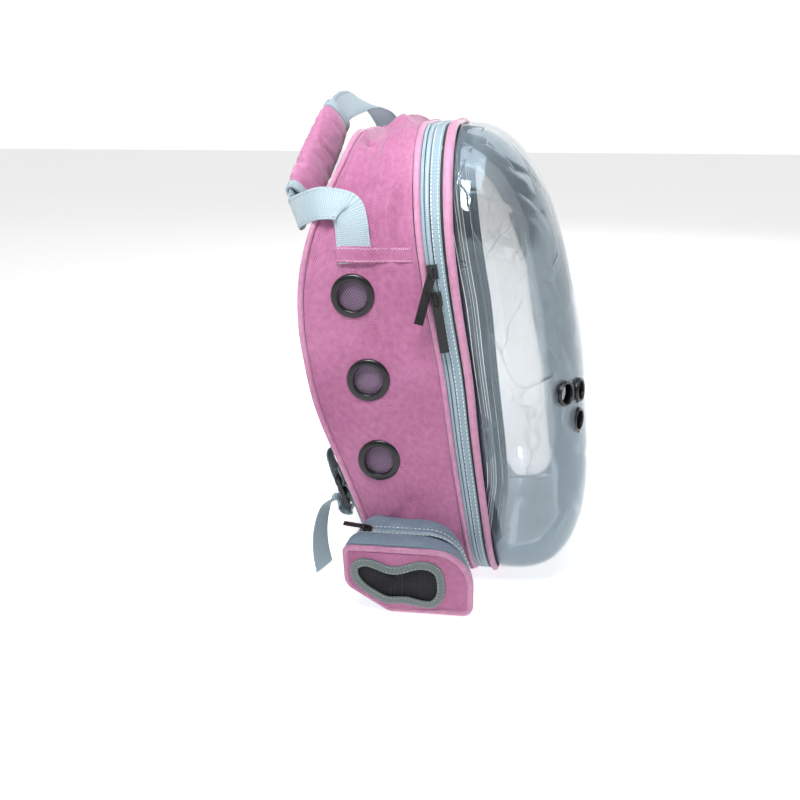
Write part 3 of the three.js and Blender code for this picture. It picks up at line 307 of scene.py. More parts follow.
def curve_lengths(points: Array) -> Array:
    """The running distance along (N, 3) points."""
    return np.concatenate([[0], np.cumsum(np.linalg.norm(np.diff(points, axis=0), axis=1))])


def smooth_path(places: Array, count: int) -> Array:
    """Reads a row of places smoothly at even shares of its length along its chords.

    Args:
        places: (N, K) rows of numbers, whose first three are a place in mm.
        count: how many rows to make.

    Returns:
        (count, K) rows.
    """
    rows = np.asarray(places, float)
    keys = curve_lengths(rows[:, :3])
    at = np.linspace(0, keys[-1], count)
    columns = [read_table(list(keys), list(rows[:, k]), at) for k in range(rows.shape[1])]
    return np.stack(columns, -1)


def swept(path: Array, level: Array, profile: Array) -> Array:
    """Carries a profile along a path, its first direction held near the given level directions.

    Args:
        path: (N, 3) places in mm.
        level: (N, 3) directions of the profile's width, squared to the path here.
        profile: (K, 2) section, or (N, K, 2) one per place.

    Returns:
        (N, K, 3) places.
    """
    run = unit(np.gradient(path, axis=0))
    across = unit(level - run * np.sum(level * run, -1, keepdims=True))
    out = np.cross(run, across)
    section = np.broadcast_to(profile, (len(path),) + profile.shape[-2:])
    return path[:, None] + across[:, None] * section[..., :1] + out[:, None] * section[..., 1:]


# The body's shape, from the same sizes as the solids


@dataclass(frozen=True)
class BodyShape:
    """The carrier body's outline, lean and depth, and where a place on it lies."""

    width: float = 300.0
    height: float = 400.0
    top_radius: float = 100.0
    bottom_radius: float = 60.0
    top_lean: float = 50.0
    depth: float = 140.0
    wall: float = 2.5
    side_swell: float = 5.0
    back_inset: float = 7.0
    clearance: float = 0.3
    dome_piping: float = 3.7
    seam_piping: float = 2.6
    binding: float = 1.4
    front_tape: float = 7.7
    coil: float = 4.0
    rear_tape: float = 2.6
    spread_base: float = 0.76
    spread_top: float = 1.12
    lean_heights: tuple = (0, 0.16, 0.335, 0.495, 0.618, 0.7, 0.783, 0.86, 0.938, 1)
    leans: tuple = (0, 0.18, 0.377, 0.533, 0.708, 0.815, 0.9, 0.953, 0.984, 1)
    depth_heights: tuple = (0, 0.1, 0.18, 0.25, 0.31, 0.385, 0.45, 0.52, 0.6, 0.7, 0.8, 0.87, 0.94, 1)
    depths: tuple = (0.72, 0.75, 0.8, 0.85, 0.895, 0.955, 0.99, 1, 0.985, 0.925, 0.82, 0.73, 0.66, 0.62)
    folds: tuple = (
        (-0.13, 0.74, 0.05, 0.7, 0.16, 0.09), (-0.13, 0.72, -0.24, 0.6, 0.15, 0.05),
        (0.06, 0.6, 0.24, 0.68, 0.17, 0.045), (-0.16, 0.3, 0.16, 0.32, 0.2, -0.028),
    )

    @property
    def half_top(self) -> float:
        """Half the straight run of the top."""
        return self.width / 2 - self.top_radius

    @property
    def side_start(self) -> float:
        """The distance along to where the straight side starts."""
        return self.half_top + math.pi / 2 * self.top_radius

    @property
    def side_end(self) -> float:
        """The distance along to where the straight side ends."""
        return self.side_start + self.height - self.top_radius - self.bottom_radius

    @property
    def half_loop(self) -> float:
        """Half the outline's length."""
        return self.side_end + math.pi / 2 * self.bottom_radius + self.width / 2 - self.bottom_radius

    def stations(self, count: int) -> Array:
        """Even distances all round the outline, starting at the top middle and going down the right side."""
        raw = np.arange(count) * 2 * self.half_loop / count
        return np.where(raw > self.half_loop, raw - 2 * self.half_loop, raw)

    def loop_lengths(self, count: int) -> Array:
        """Texture distances for stations, with the whole length at the end."""
        return np.arange(count + 1) * 2 * self.half_loop / count

    def outline(self, along: Array) -> tuple:
        """The outline: straight runs joined by a top and a bottom arc, by how far each has been used up.

        Args:
            along: distances from the top middle, negative on the left.

        Returns:
            x, z, and the outward direction's x and z, each in the shape of along.
        """
        a = np.abs(along)
        side = np.where(along < 0, -1.0, 1.0)
        top = np.clip((a - self.half_top) / self.top_radius, 0, math.pi / 2)
        low = np.clip((a - self.side_end) / self.bottom_radius, 0, math.pi / 2)
        side_length = self.side_end - self.side_start
        base_start = self.side_end + math.pi / 2 * self.bottom_radius
        x = np.minimum(a, self.half_top) + self.top_radius * np.sin(top)
        x = x - self.bottom_radius * (1 - np.cos(low)) - np.maximum(a - base_start, 0)
        z = self.height - self.top_radius * (1 - np.cos(top)) - np.clip(a - self.side_start, 0, side_length)
        z = z - self.bottom_radius * np.sin(low)
        return side * x, z, side * np.sin(top + low), np.cos(top + low)

    def along_at(self, height: float, side: Side) -> float:
        """The distance along to a height on the straight side or the top corner."""
        corner = self.height - self.top_radius
        if height <= corner:
            return side.value * (self.side_start + corner - height)
        return side.value * (self.half_top + self.top_radius * math.acos((height - corner) / self.top_radius))

    def rim_y(self, z: Array) -> Array:
        """Where the dome's rim lies at a height."""
        front = -(self.depth * self.depths[0]) / 2
        return front + self.top_lean * read_table(self.lean_heights, self.leans, z / self.height)

    def spread(self, z: Array) -> Array:
        """How wide the zip band is at a height, as a share."""
        return self.spread_base + (self.spread_top - self.spread_base) * z / self.height

    @property
    def binding_start(self) -> float:
        """Where the binding behind the dome's piping starts; the zip's tapes and coil follow it."""
        return self.dome_piping + self.clearance

    @property
    def tape_start(self) -> float:
        """Where the zip's front tape starts."""
        return self.binding_start + self.binding + self.clearance

    @property
    def coil_start(self) -> float:
        """Where the zip's coil starts."""
        return self.tape_start + self.front_tape + self.clearance

    @property
    def rear_start(self) -> float:
        """Where the zip's rear tape starts."""
        return self.coil_start + self.coil + self.clearance

    @property
    def seam_middle(self) -> float:
        """Where the middle of the front seam's piping lies."""
        return self.rear_start + self.rear_tape + self.clearance + self.seam_piping

    def fabric_front(self, z: Array) -> Array:
        """How far behind the rim the fabric starts."""
        return (self.seam_middle + self.seam_piping + 2 * self.clearance) * self.spread(z)

    def fabric_back(self, z: Array) -> Array:
        """How far behind the rim the fabric ends."""
        depth = self.depth * read_table(self.depth_heights, self.depths, z / self.height)
        return depth - 2 * self.seam_piping - 2 * self.clearance

    def swell(self, along: Array, z: Array, nz: Array, across: Array) -> Array:
        """How far the fabric stands out: a half sine between the seams, less the back inset and folds."""
        q = np.clip(across, 0, 1)
        out = self.side_swell * np.sin(math.pi * q) * smooth_step((nz + 0.75) / 0.6)
        out = out - self.back_inset * q**1.5 * smooth_step(nz)
        width = self.fabric_back(z) - self.fabric_front(z)
        seamed = np.minimum(1, np.minimum(6 * q, 6 * (1 - q)))
        for from_along, from_across, to_along, to_across, half, depth in self.folds:
            line = (from_along * self.half_loop, from_across * width)
            line += (to_along * self.half_loop, to_across * width)
            out = out - depth * self.depth * ridge(along, q * width, line, half * width) * seamed
        return out

    def on_fabric(self, along: Array, across: Array, proud: Array) -> Array:
        """A place on the fabric, across from its front seam (0) to its back seam (1)."""
        x, z, nx, nz = self.outline(along)
        front = self.fabric_front(z)
        behind = front + across * (self.fabric_back(z) - front)
        out = proud + self.swell(along, z, nz, across)
        y = self.rim_y(z) + behind + 0 * out
        return lifted(x + nx * out, y, z + nz * out)

    def across_at(self, behind: Array, z: Array) -> Array:
        """The share across the fabric at a distance behind the rim."""
        front = self.fabric_front(z)
        return (behind - front) / (self.fabric_back(z) - front)

    def on_band(self, along: Array, behind: Array, proud: Array) -> Array:
        """A place on the zip band or the dome's rim; at the base the band is pushed in off the ground."""
        x, z, nx, nz = self.outline(along)
        out = proud - self.dome_piping * smooth_step(-nz) + 0 * behind
        y = self.rim_y(z) + behind * self.spread(z) + 0 * out
        return lifted(x + nx * out, y, z + nz * out)

    def on_back_seam(self, along: Array, behind: Array, proud: Array) -> Array:
        """A place beside the back seam, behind the fabric's rear edge."""
        x, z, nx, nz = self.outline(along)
        swell = self.swell(along, z, nz, np.ones_like(z))
        out = proud + swell - self.seam_piping * smooth_step(-nz) + 0 * behind
        y = self.rim_y(z) + self.fabric_back(z) + behind + 0 * out
        return lifted(x + nx * out, y, z + nz * out)


SHAPE = BodyShape()


# Finishes


def linear(colour: str) -> tuple:
    """Turns an sRGB colour such as #A9BEC6 into linear red, green, blue and alpha."""
    srgb = np.array([int(colour[i : i + 2], 16) for i in (1, 3, 5)]) / 255
    light = np.where(srgb <= 0.04045, srgb / 12.92, ((srgb + 0.055) / 1.055) ** 2.4)
    return (*(float(c) for c in light), 1.0)


def set_ramp(ramp: bpy.types.ColorRamp, stops: list[tuple]) -> None:
    """Gives a colour ramp its (position, linear colour) stops."""
    while len(ramp.elements) < len(stops):
        ramp.elements.new(0.5)
    for element, (position, colour) in zip(ramp.elements, stops):
        element.position = position
        element.color = colour


class Finish:
    """A procedural material built round one Principled shader."""

    def __init__(self, name: str, slot: str, **sockets: float | tuple) -> None:
        """Starts a material.

        Args:
            name: the real material's name.
            slot: the record's material slot that this finish matches; it is stored but not used.
            sockets: the shader's own values, with underscores for spaces.
        """
        self.slot = slot
        self.material = bpy.data.materials.new(name)
        self.material.use_nodes = True
        self.tree = self.material.node_tree
        self.shader = self.tree.nodes["Principled BSDF"]
        for key, value in sockets.items():
            self.shader.inputs[key.replace("_", " ")].default_value = value

    def add(self, kind: str, inputs: dict, out: str | int = 0, **settings: str | float) -> Socket:
        """Adds a node: inputs given as sockets are linked, the others are set.

        Args:
            kind: the node's type without its ShaderNode prefix.
            inputs: the values or sockets by input name or number.
            out: which output to give back.
            settings: the node's own settings.

        Returns:
            The output socket.
        """
        node = self.tree.nodes.new(f"ShaderNode{kind}")
        for key, value in settings.items():
            setattr(node, key, value)
        for key, value in inputs.items():
            if isinstance(value, Socket):
                self.tree.links.new(value, node.inputs[key])
            else:
                node.inputs[key].default_value = value
        return node.outputs[out]

    def cloth(self) -> Socket:
        """The piece's own cloth coordinates, in metres along and across it."""
        return self.add("UVMap", {}, uv_map="Cloth")

    def place(self) -> Socket:
        """The place on the object, in metres."""
        return self.add("TexCoord", {}, "Object")

    def plus(self, a: Socket, b: Socket) -> Socket:
        """Adds two values."""
        return self.add("Math", {0: a, 1: b}, operation="ADD")

    def times(self, a: Socket, b: float | Socket) -> Socket:
        """Multiplies two values."""
        return self.add("Math", {0: a, 1: b}, operation="MULTIPLY")

    def stripes(self, place: Socket, pitch: float, turn: float) -> Socket:
        """Soft stripes from 0 to 1, one in every pitch millimetres, turned by an angle in degrees."""
        turned = self.add("Mapping", {"Vector": place, "Rotation": (0, 0, math.radians(turn))})
        values = {"Vector": turned, "Scale": math.pi / 10 / (pitch * MM), "Distortion": 0.0, "Detail": 0.0}
        return self.add("TexWave", values, "Fac", wave_type="BANDS", bands_direction="X", wave_profile="SIN")

    def cloud(self, place: Socket, size: float, detail: float = 2.0) -> Socket:
        """Soft noise from 0 to 1 whose patches are about size millimetres."""
        return self.add("TexNoise", {"Vector": place, "Scale": 1 / (size * MM), "Detail": detail}, "Fac")

    def paint(self, share: Socket, *stops: tuple) -> None:
        """Colours the shader by a share, through (position, colour) stops."""
        node = self.tree.nodes.new("ShaderNodeValToRGB")
        self.tree.links.new(share, node.inputs[0])
        set_ramp(node.color_ramp, [(position, linear(colour)) for position, colour in stops])
        self.shader.inputs["Base Color"].default_value = linear(stops[len(stops) // 2][1])
        self.tree.links.new(node.outputs[0], self.shader.inputs["Base Color"])

    def emboss(self, *layers: tuple) -> None:
        """Stacks bumps on the shader's normal, from (height socket, depth in mm) layers."""
        normal = None
        for height, depth in layers:
            values = {"Height": height, "Distance": depth * MM, "Strength": 1.0}
            if normal is not None:
                values["Normal"] = normal
            normal = self.add("Bump", values)
        self.tree.links.new(normal, self.shader.inputs["Normal"])

    def dress(self, *pieces: Piece) -> None:
        """Gives pieces this finish."""
        for piece in pieces:
            piece.data.materials.clear()
            piece.data.materials.append(self.material)

    def line(self, piece: Piece, inside: Array) -> None:
        """Gives this finish to the faces of a dressed piece that are marked as its inside; with the dark
        slate lining this paints the shade inside the body.
        """
        piece.data.materials.append(self.material)
        piece.data.polygons.foreach_set("material_index", inside.astype(np.int32))


@dataclass(frozen=True)
class Cloth:
    """A woven or knitted finish: its name, its slot, and its colours from dark to light."""

    name: str
    slot: str
    shade: str
    colour: str
    glow: str


@dataclass(frozen=True)
class Twill(Cloth):
    """Piece-dyed polyester twill: filling floats give diagonal ribs, and the yarns take the dye unevenly."""

    pitch: float
    depth: float = 0.16
    roughness: float = 0.72
    sheen: float = 0.35

    def build(self) -> Finish:
        """Makes the material; ribs are drawn a little coarser than the real ones, so that they show."""
        sheen = {"Sheen_Weight": self.sheen, "Sheen_Roughness": 0.4}
        finish = Finish(self.name, self.slot, Roughness=self.roughness, **sheen)
        cloth = finish.cloth()
        rib = finish.stripes(cloth, self.pitch, 52)
        cross = finish.stripes(cloth, self.pitch * 0.62, -38)
        slub = finish.cloud(cloth, 5.5, 3)
        patch = finish.cloud(finish.place(), 85, 2)
        woven = finish.times(finish.plus(rib, cross), 0.22)
        uneven = finish.plus(finish.times(slub, 0.4), finish.times(patch, 0.5))
        finish.paint(finish.plus(woven, uneven), (0.3, self.shade), (0.62, self.colour), (0.92, self.glow))
        weave = finish.plus(rib, finish.times(cross, 0.55))
        finish.emboss((slub, self.depth * 1.4), (weave, self.depth))
        return finish


@dataclass(frozen=True)
class Webbing(Cloth):
    """Woven polyester webbing or zip tape: a warp-faced weave whose picks show as ribs straight across."""

    rib: float
    warp: float
    depth: float
    roughness: float = 0.62

    def build(self) -> Finish:
        """Makes the material: ribs across the run, fine warp ends along it."""
        sheen = {"Sheen_Weight": 0.25, "Sheen_Roughness": 0.35}
        finish = Finish(self.name, self.slot, Roughness=self.roughness, **sheen)
        cloth = finish.cloth()
        rib = finish.stripes(cloth, self.rib, 0)
        warp = finish.stripes(cloth, self.warp, 90)
        fuzz = finish.cloud(cloth, 2.2, 3)
        wear = finish.cloud(finish.place(), 40, 2)
        tone = finish.plus(finish.times(rib, 0.3), finish.times(warp, 0.12))
        tone = finish.plus(tone, finish.times(finish.plus(fuzz, wear), 0.3))
        finish.paint(tone, (0.22, self.shade), (0.5, self.colour), (0.8, self.glow))
        finish.emboss((fuzz, self.depth * 0.5), (rib, self.depth), (warp, self.depth * 0.4))
        return finish


@dataclass(frozen=True)
class OpenMesh(Cloth):
    """Warp-knitted polyester mesh: three sets of yarns leave small holes in rows, dark inside."""

    pitch: float
    depth: float
    turns: tuple = (0, 60, 120)
    roughness: float = 0.8

    def build(self) -> Finish:
        """Makes the material; the holes are drawn coarser than the real 1 mm, so that they show."""
        finish = Finish(self.name, self.slot, Roughness=self.roughness, Sheen_Weight=0.15)
        cloth = finish.cloth()
        height = finish.stripes(cloth, self.pitch, self.turns[0])
        for turn in self.turns[1:]:
            height = finish.plus(height, finish.stripes(cloth, self.pitch, turn))
        height = finish.add("Math", {0: height, 1: float(len(self.turns))}, operation="DIVIDE")
        soft = finish.cloud(finish.place(), 30, 2)
        tone = finish.plus(finish.times(height, 0.75), finish.times(soft, 0.25))
        finish.paint(tone, (0.3, self.shade), (0.52, self.colour), (0.85, self.glow))
        finish.emboss((height, self.depth))
        return finish


@dataclass(frozen=True)
class Moulded:
    """Injection-moulded acetal: near black and glossy, with the faint flow marks and rub of handled trims."""

    def build(self) -> Finish:
        """Makes the material."""
        finish = Finish("Acetal_black", "black_plastic", Coat_Weight=0.35, Coat_Roughness=0.12, IOR=1.48)
        place = finish.place()
        rub, flow = finish.cloud(place, 7, 4), finish.cloud(place, 30, 2)
        worn = finish.times(finish.plus(rub, flow), 0.5)
        finish.paint(worn, (0.3, "#08090B"), (0.55, "#111216"), (0.8, "#1D1E23"))
        rough = finish.add("MapRange", {"Value": rub, "To Min": 0.2, "To Max": 0.42})
        finish.shader.inputs["Roughness"].default_value = 0.3
        finish.tree.links.new(rough, finish.shader.inputs["Roughness"])
        finish.emboss((rub, 0.05))
        return finish


@dataclass(frozen=True)
class Film:
    """Vacuum-formed clear PET: its two bright faces show, more at a slant, with creases and slight waviness.

    The sheet is thin, so it is see-through with a mirror's share rather than bending the light. The creases
    are the edges of warped cells, in patches; they are made a little whiter than the sheet, a painted
    highlight on top of the real glints from their bumps.
    """

    def build(self) -> Finish:
        """Makes the material."""
        finish = Finish("Clear_PET", "clear_plastic", Metallic=0.7, Roughness=0.05, Alpha=0.2)
        finish.shader.inputs["Base Color"].default_value = linear("#B5C6D0")
        place = finish.place()
        warped = finish.add("Mapping", {"Vector": place, "Scale": (1, 1, 0.55), "Rotation": (0.4, 0, 0.3)})
        noise = finish.add("TexNoise", {"Vector": place, "Scale": 14.0, "Detail": 2.0}, "Color")
        shift = finish.add("VectorMath", {0: noise, "Scale": 0.035}, operation="SCALE")
        warped = finish.add("VectorMath", {0: warped, 1: shift}, operation="ADD")
        cells = {"Vector": warped, "Scale": 1 / (38 * MM)}
        edge = finish.add("TexVoronoi", cells, "Distance", feature="DISTANCE_TO_EDGE")
        line = {"Value": edge, "From Min": 0.0, "From Max": 0.03, "To Min": 1.0, "To Max": 0.0}
        crease = finish.add("MapRange", line)
        patch = {"Value": finish.cloud(place, 50, 2), "From Min": 0.42, "From Max": 0.6}
        crease = finish.times(crease, finish.add("MapRange", patch))
        slant = finish.add("Fresnel", {"IOR": 1.5})
        haze = {"Value": slant, "From Min": 0.04, "From Max": 0.75, "To Min": 0.17, "To Max": 0.75}
        # crease lines are made more opaque so they show whiter: a painted highlight along the folds
        veil = finish.plus(finish.add("MapRange", haze), finish.times(crease, 0.16))
        finish.tree.links.new(veil, finish.shader.inputs["Alpha"])
        finish.emboss((finish.cloud(place, 60, 1), 2.2), (finish.cloud(place, 14, 2), 0.3), (crease, 0.5))
        return finish


@dataclass(frozen=True)
class Thread:
    """Twisted polyester sewing thread: a bright round yarn, shaded by its twist."""

    name: str
    slot: str
    colour: str
    glow: str

    def build(self) -> Finish:
        """Makes the material."""
        finish = Finish(self.name, self.slot, Roughness=0.5, Sheen_Weight=0.3)
        finish.paint(finish.cloud(finish.place(), 1.2, 2), (0.3, self.colour), (0.7, self.glow))
        return finish


def studio_floor() -> Finish:
    """Matte seamless background paper, almost even in tone, with a weak glow that keeps it white."""
    glow = {"Emission_Color": linear("#FFFFFF"), "Emission_Strength": 0.66}
    finish = Finish("Backdrop_paper", "pink_fabric", Roughness=0.9, **glow)
    finish.paint(finish.cloud(finish.place(), 900, 1), (0.3, "#FAFAFA"), (0.7, "#FFFFFF"))
    return finish


FINISH_ROWS = {
    "twill": Twill("Polyester_twill_pink", "pink_fabric", "#89496E", "#AD658F", "#CB8AAF", 1.7),
    # the dark slate lining is much darker than the lining's own grey: it paints the shade inside the body, on
    # the cloth's inner faces and on the zip band's inner faces
    "lining": Twill("Polyester_lining_slate", "pink_fabric",
        "#0F131C", "#1A202B", "#2A313F", 2.6, 0.1, 0.85, 0.1),
    "piping": Twill("Polyester_piping_pink", "pink_piping",
        "#A05F85", "#BE7CA0", "#DBA6C4", 1.6, 0.12, 0.5, 0.5),
    "webbing": Webbing("Polyester_webbing_grey", "grey_webbing",
        "#8DA0A9", "#A2B6BF", "#B9CAD1", 1.7, 1.3, 0.2),
    "tape": Webbing("Zip_tape_grey", "grey_tape", "#78909C", "#8CA4B0", "#A3B8C2", 1.4, 1.2, 0.1),
    "gusset": Webbing("Polyester_gusset_grey", "grey_tape",
        "#5F7480", "#74899A", "#8FA2B0", 1.5, 1.3, 0.1, 0.5),
    "coil": Webbing("Nylon_coil_grey", "grey_tape", "#8499A4", "#98ACB7", "#B0C1CA", 1.9, 6, 0.03, 0.35),
    "binding": Webbing("Grosgrain_binding_black", "black_binding",
        "#0D0D10", "#17181C", "#2A2B31", 1.8, 3, 0.12),
    "window_binding": Webbing("Grosgrain_binding_grey", "grey_tape",
        "#525E60", "#6C7876", "#8A9592", 1.6, 2, 0.14),
    "spacer": OpenMesh("Spacer_mesh_black", "black_mesh", "#050506", "#1C1D21", "#35363C", 3.2, 0.7),
    "window_mesh": OpenMesh("Ribbed_mesh_black", "black_mesh",
        "#060608", "#17181C", "#33353C", 1.9, 0.5, (0, 0, 90)),
    "screen": OpenMesh("Screen_mesh_mauve", "lining_mesh",
        "#4A3550", "#77607B", "#A08AA2", 1.6, 0.2, (45, 135)),
    "plastic": Moulded(),
    "film": Film(),
    "pink_thread": Thread("Thread_pink", "pink_fabric", "#D59ABA", "#F3D3E3"),
    "white_thread": Thread("Thread_white", "grey_tape", "#D8E0E3", "#FFFFFF"),
    "grey_thread": Thread("Thread_grey", "grey_webbing", "#7D8C93", "#C5D0D4"),
}


# Sewing


@dataclass(frozen=True)
class Stitch:
    """One run of lock stitches: how long each is, the gap to the next, and the thread's radius, in mm."""

    length: float = 3.0
    gap: float = 1.1
    radius: float = 0.42


SIDES = 4
BOW_SHARES = np.array([-1, -0.72, 0.0, 0.72, 1])
BOW_SIZES = np.array([0.35, 0.95, 1.0, 0.95, 0.35])


def stitch_run(name: str, path: Array, out: Array, stitch: Stitch, finish: Finish) -> None:
    """Sews a line of stitches along a path, each a short bowed capsule half sunk in the cloth.

    Args:
        name: the piece's name.
        path: (N, 3) places of the line in mm; a closed line repeats its first place.
        out: (N, 3) directions out of the cloth.
        stitch: the stitch's sizes.
        finish: the thread.
    """
    lengths = curve_lengths(path)
    count = max(2, int(lengths[-1] / (stitch.length + stitch.gap)))
    middles = (np.arange(count) + 0.5) * lengths[-1] / count
    at = middles[:, None] + BOW_SHARES * stitch.length / 2
    place, up = (np.stack([np.interp(at, lengths, rows[:, k]) for k in range(3)], -1) for rows in (path, out))
    up = unit(up)
    run = unit(np.repeat(place[:, -1:] - place[:, :1], len(BOW_SHARES), axis=1))
    side = unit(np.cross(run, up))
    turn = np.arange(SIDES) * TAU / SIDES
    place = place + up * (BOW_SIZES * stitch.radius * 0.3)[:, None]
    ring = side[:, :, None] * np.cos(turn)[:, None] + up[:, :, None] * np.sin(turn)[:, None]
    points = place[:, :, None] + ring * (BOW_SIZES * stitch.radius)[:, None, None]
    strip = cap_strip(SIDES)
    block = len(BOW_SHARES) * SIDES
    faces, _ = grid_faces(len(BOW_SHARES), SIDES, False, True)
    faces = np.vstack([faces, strip, block - SIDES + strip[:, ::-1]])
    every = (faces[None] + (np.arange(count) * block)[:, None, None]).reshape(-1, 4)
    finish.dress(mesh_object(name, points.reshape(-1, 3), every, None))


@dataclass
class Assembly:
    """A group of pieces, made from the body's shape, the finishes by name and its side."""

    shape: BodyShape
    finishes: dict[str, Finish]
    side: Side

    def names(self, *stems: str) -> tuple:
        """Names with the side at their ends."""
        return tuple(f"{stem}_{self.side.label}" for stem in stems)

    def sew(self, name: str, path: Array, out: Array, stitch: Stitch, finish: str) -> None:
        """Sews a line of stitches, as stitch_run does."""
        stitch_run(name, path, out, stitch, self.finishes[finish])

    def finish(self, piece: Piece, node: str, finish: str) -> Piece:
        """Dresses a piece and lets it stand in for its CAD node."""
        self.finishes[finish].dress(piece)
        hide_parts(node)
        return piece

    def lay(
        self, name: str, node: str, finish: str, points: Array, u: Array, v: Array, wrap: tuple = CLOSED
    ) -> Piece:
        """Makes a finished piece from a grid of points, as sheet_piece does."""
        return self.finish(sheet_piece(name, points, u, v, wrap), node, finish)

    def cast(self, name: str, node: str, body: str, bevel: float, rounds: int = 2) -> None:
        """Stands a softened plastic copy in for a hard CAD node: doubles merged, edges bevelled.

        Args:
            name: the new piece's name.
            node: the CAD node that it stands for.
            body: the body that it moves with.
            bevel: the bevel's width in mm.
            rounds: the bevel's segments.
        """
        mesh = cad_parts[node].data.copy()
        piece = placed(name, mesh)
        rows = (
            ("Weld", "WELD", {"merge_threshold": 0.02 * MM}),
            ("Flatten", "DECIMATE", {"decimate_type": "DISSOLVE", "angle_limit": math.radians(2)}),
            ("Edge", "BEVEL", {"width": bevel * MM, "segments": rounds, "limit_method": "ANGLE",
                               "angle_limit": math.radians(35), "harden_normals": False}),
            ("Normals", "WEIGHTED_NORMAL", {"keep_sharp": True}),
        )
        for label, kind, settings in rows:
            modifier = piece.modifiers.new(label, kind)
            for key, value in settings.items():
                setattr(modifier, key, value)
        mesh.polygons.foreach_set("use_smooth", np.ones(len(mesh.polygons), bool))
        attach(piece, body)
        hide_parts(node)
        self.finishes["plastic"].dress(piece)


# Sub-assemblies


def there_and_back(v: Array) -> Array:
    """Texture distances over one face and back over the other, with the first at the end."""
    return np.concatenate([v, v[::-1], v[:1]])


def folded_sheet(shape: BodyShape, along: Array, across: Array, proud: Array, wall: float) -> Array:
    """Both faces of a sheet laid on the cloth, as one grid of closed sections."""
    outer, inner = (shape.on_fabric(along, across, proud - depth) for depth in (0.0, wall))
    return np.concatenate([outer, inner[:, ::-1]], 1)


@dataclass(frozen=True)
class GrommetSizes:
    """The side vents' frames and the mesh behind them, in mm; the profile is (past the hole, height)."""

    radius: float = 18.5
    hole: float = 12.5
    behind: float = 85.0
    heights: tuple = (123.0, 194.6, 266.2)
    profile: tuple = (
        (0, -1.5), (0, 0.6), (0.15, 1.7), (0.7, 2.4), (1.5, 2.6), (2.7, 2.6), (3.4, 2.25), (4.4, 2.1),
        (5.2, 1.7), (5.8, 1.0), (6, 0.2), (5.9, -0.9), (2, -0.9), (2, -1.5),
    )
    screen_gap: float = 0.5
    screen_thickness: float = 0.9
    screen_margin: float = 6.0

    def middles(self, shape: BodyShape) -> list[tuple[float, float]]:
        """Each vent's distance along and distance behind the rim, on both sides."""
        return [(shape.along_at(height, side), self.behind) for side in Side for height in self.heights]


@dataclass(frozen=True)
class FabricSizes:
    """The body's cloth, in mm; a crease is (along, behind) twice, half width, depth."""

    stations: int = 720
    columns: int = 64
    hole_radius: float = 15.4
    drawn_in: float = 1.35
    calm: float = 27.0
    hem: float = 3.4
    hem_height: float = 1.5
    yoke: float = 14.0
    yoke_dip: float = 0.4
    pucker: float = 0.45
    soft: float = 0.9
    creases: tuple = (
        (-330, 66, -205, 82, 4.5, 2.2), (-215, 50, -150, 44, 5.0, -2.4), (-150, 46, -100, 62, 4.0, 2.7),
        (-110, 66, -66, 40, 5.0, 2.2), (-60, 44, 10, 58, 6.0, -2.7), (-20, 34, 60, 40, 5.0, 1.8),
        (-262, 60, -236, 106, 5.0, 2.0), (-300, 30, -272, 58, 4.5, 1.4), (-395, 48, -372, 112, 5.5, 1.5),
        (-455, 92, -420, 60, 5.0, 1.7), (-505, 40, -470, 88, 5.0, 1.5), (90, 52, 160, 44, 5.0, 2.2),
        (150, 60, 225, 78, 4.5, -2.0), (262, 60, 236, 100, 5.0, 1.8), (392, 48, 372, 108, 5.5, 1.5),
        (470, 60, 505, 96, 5.0, 1.5),
    )


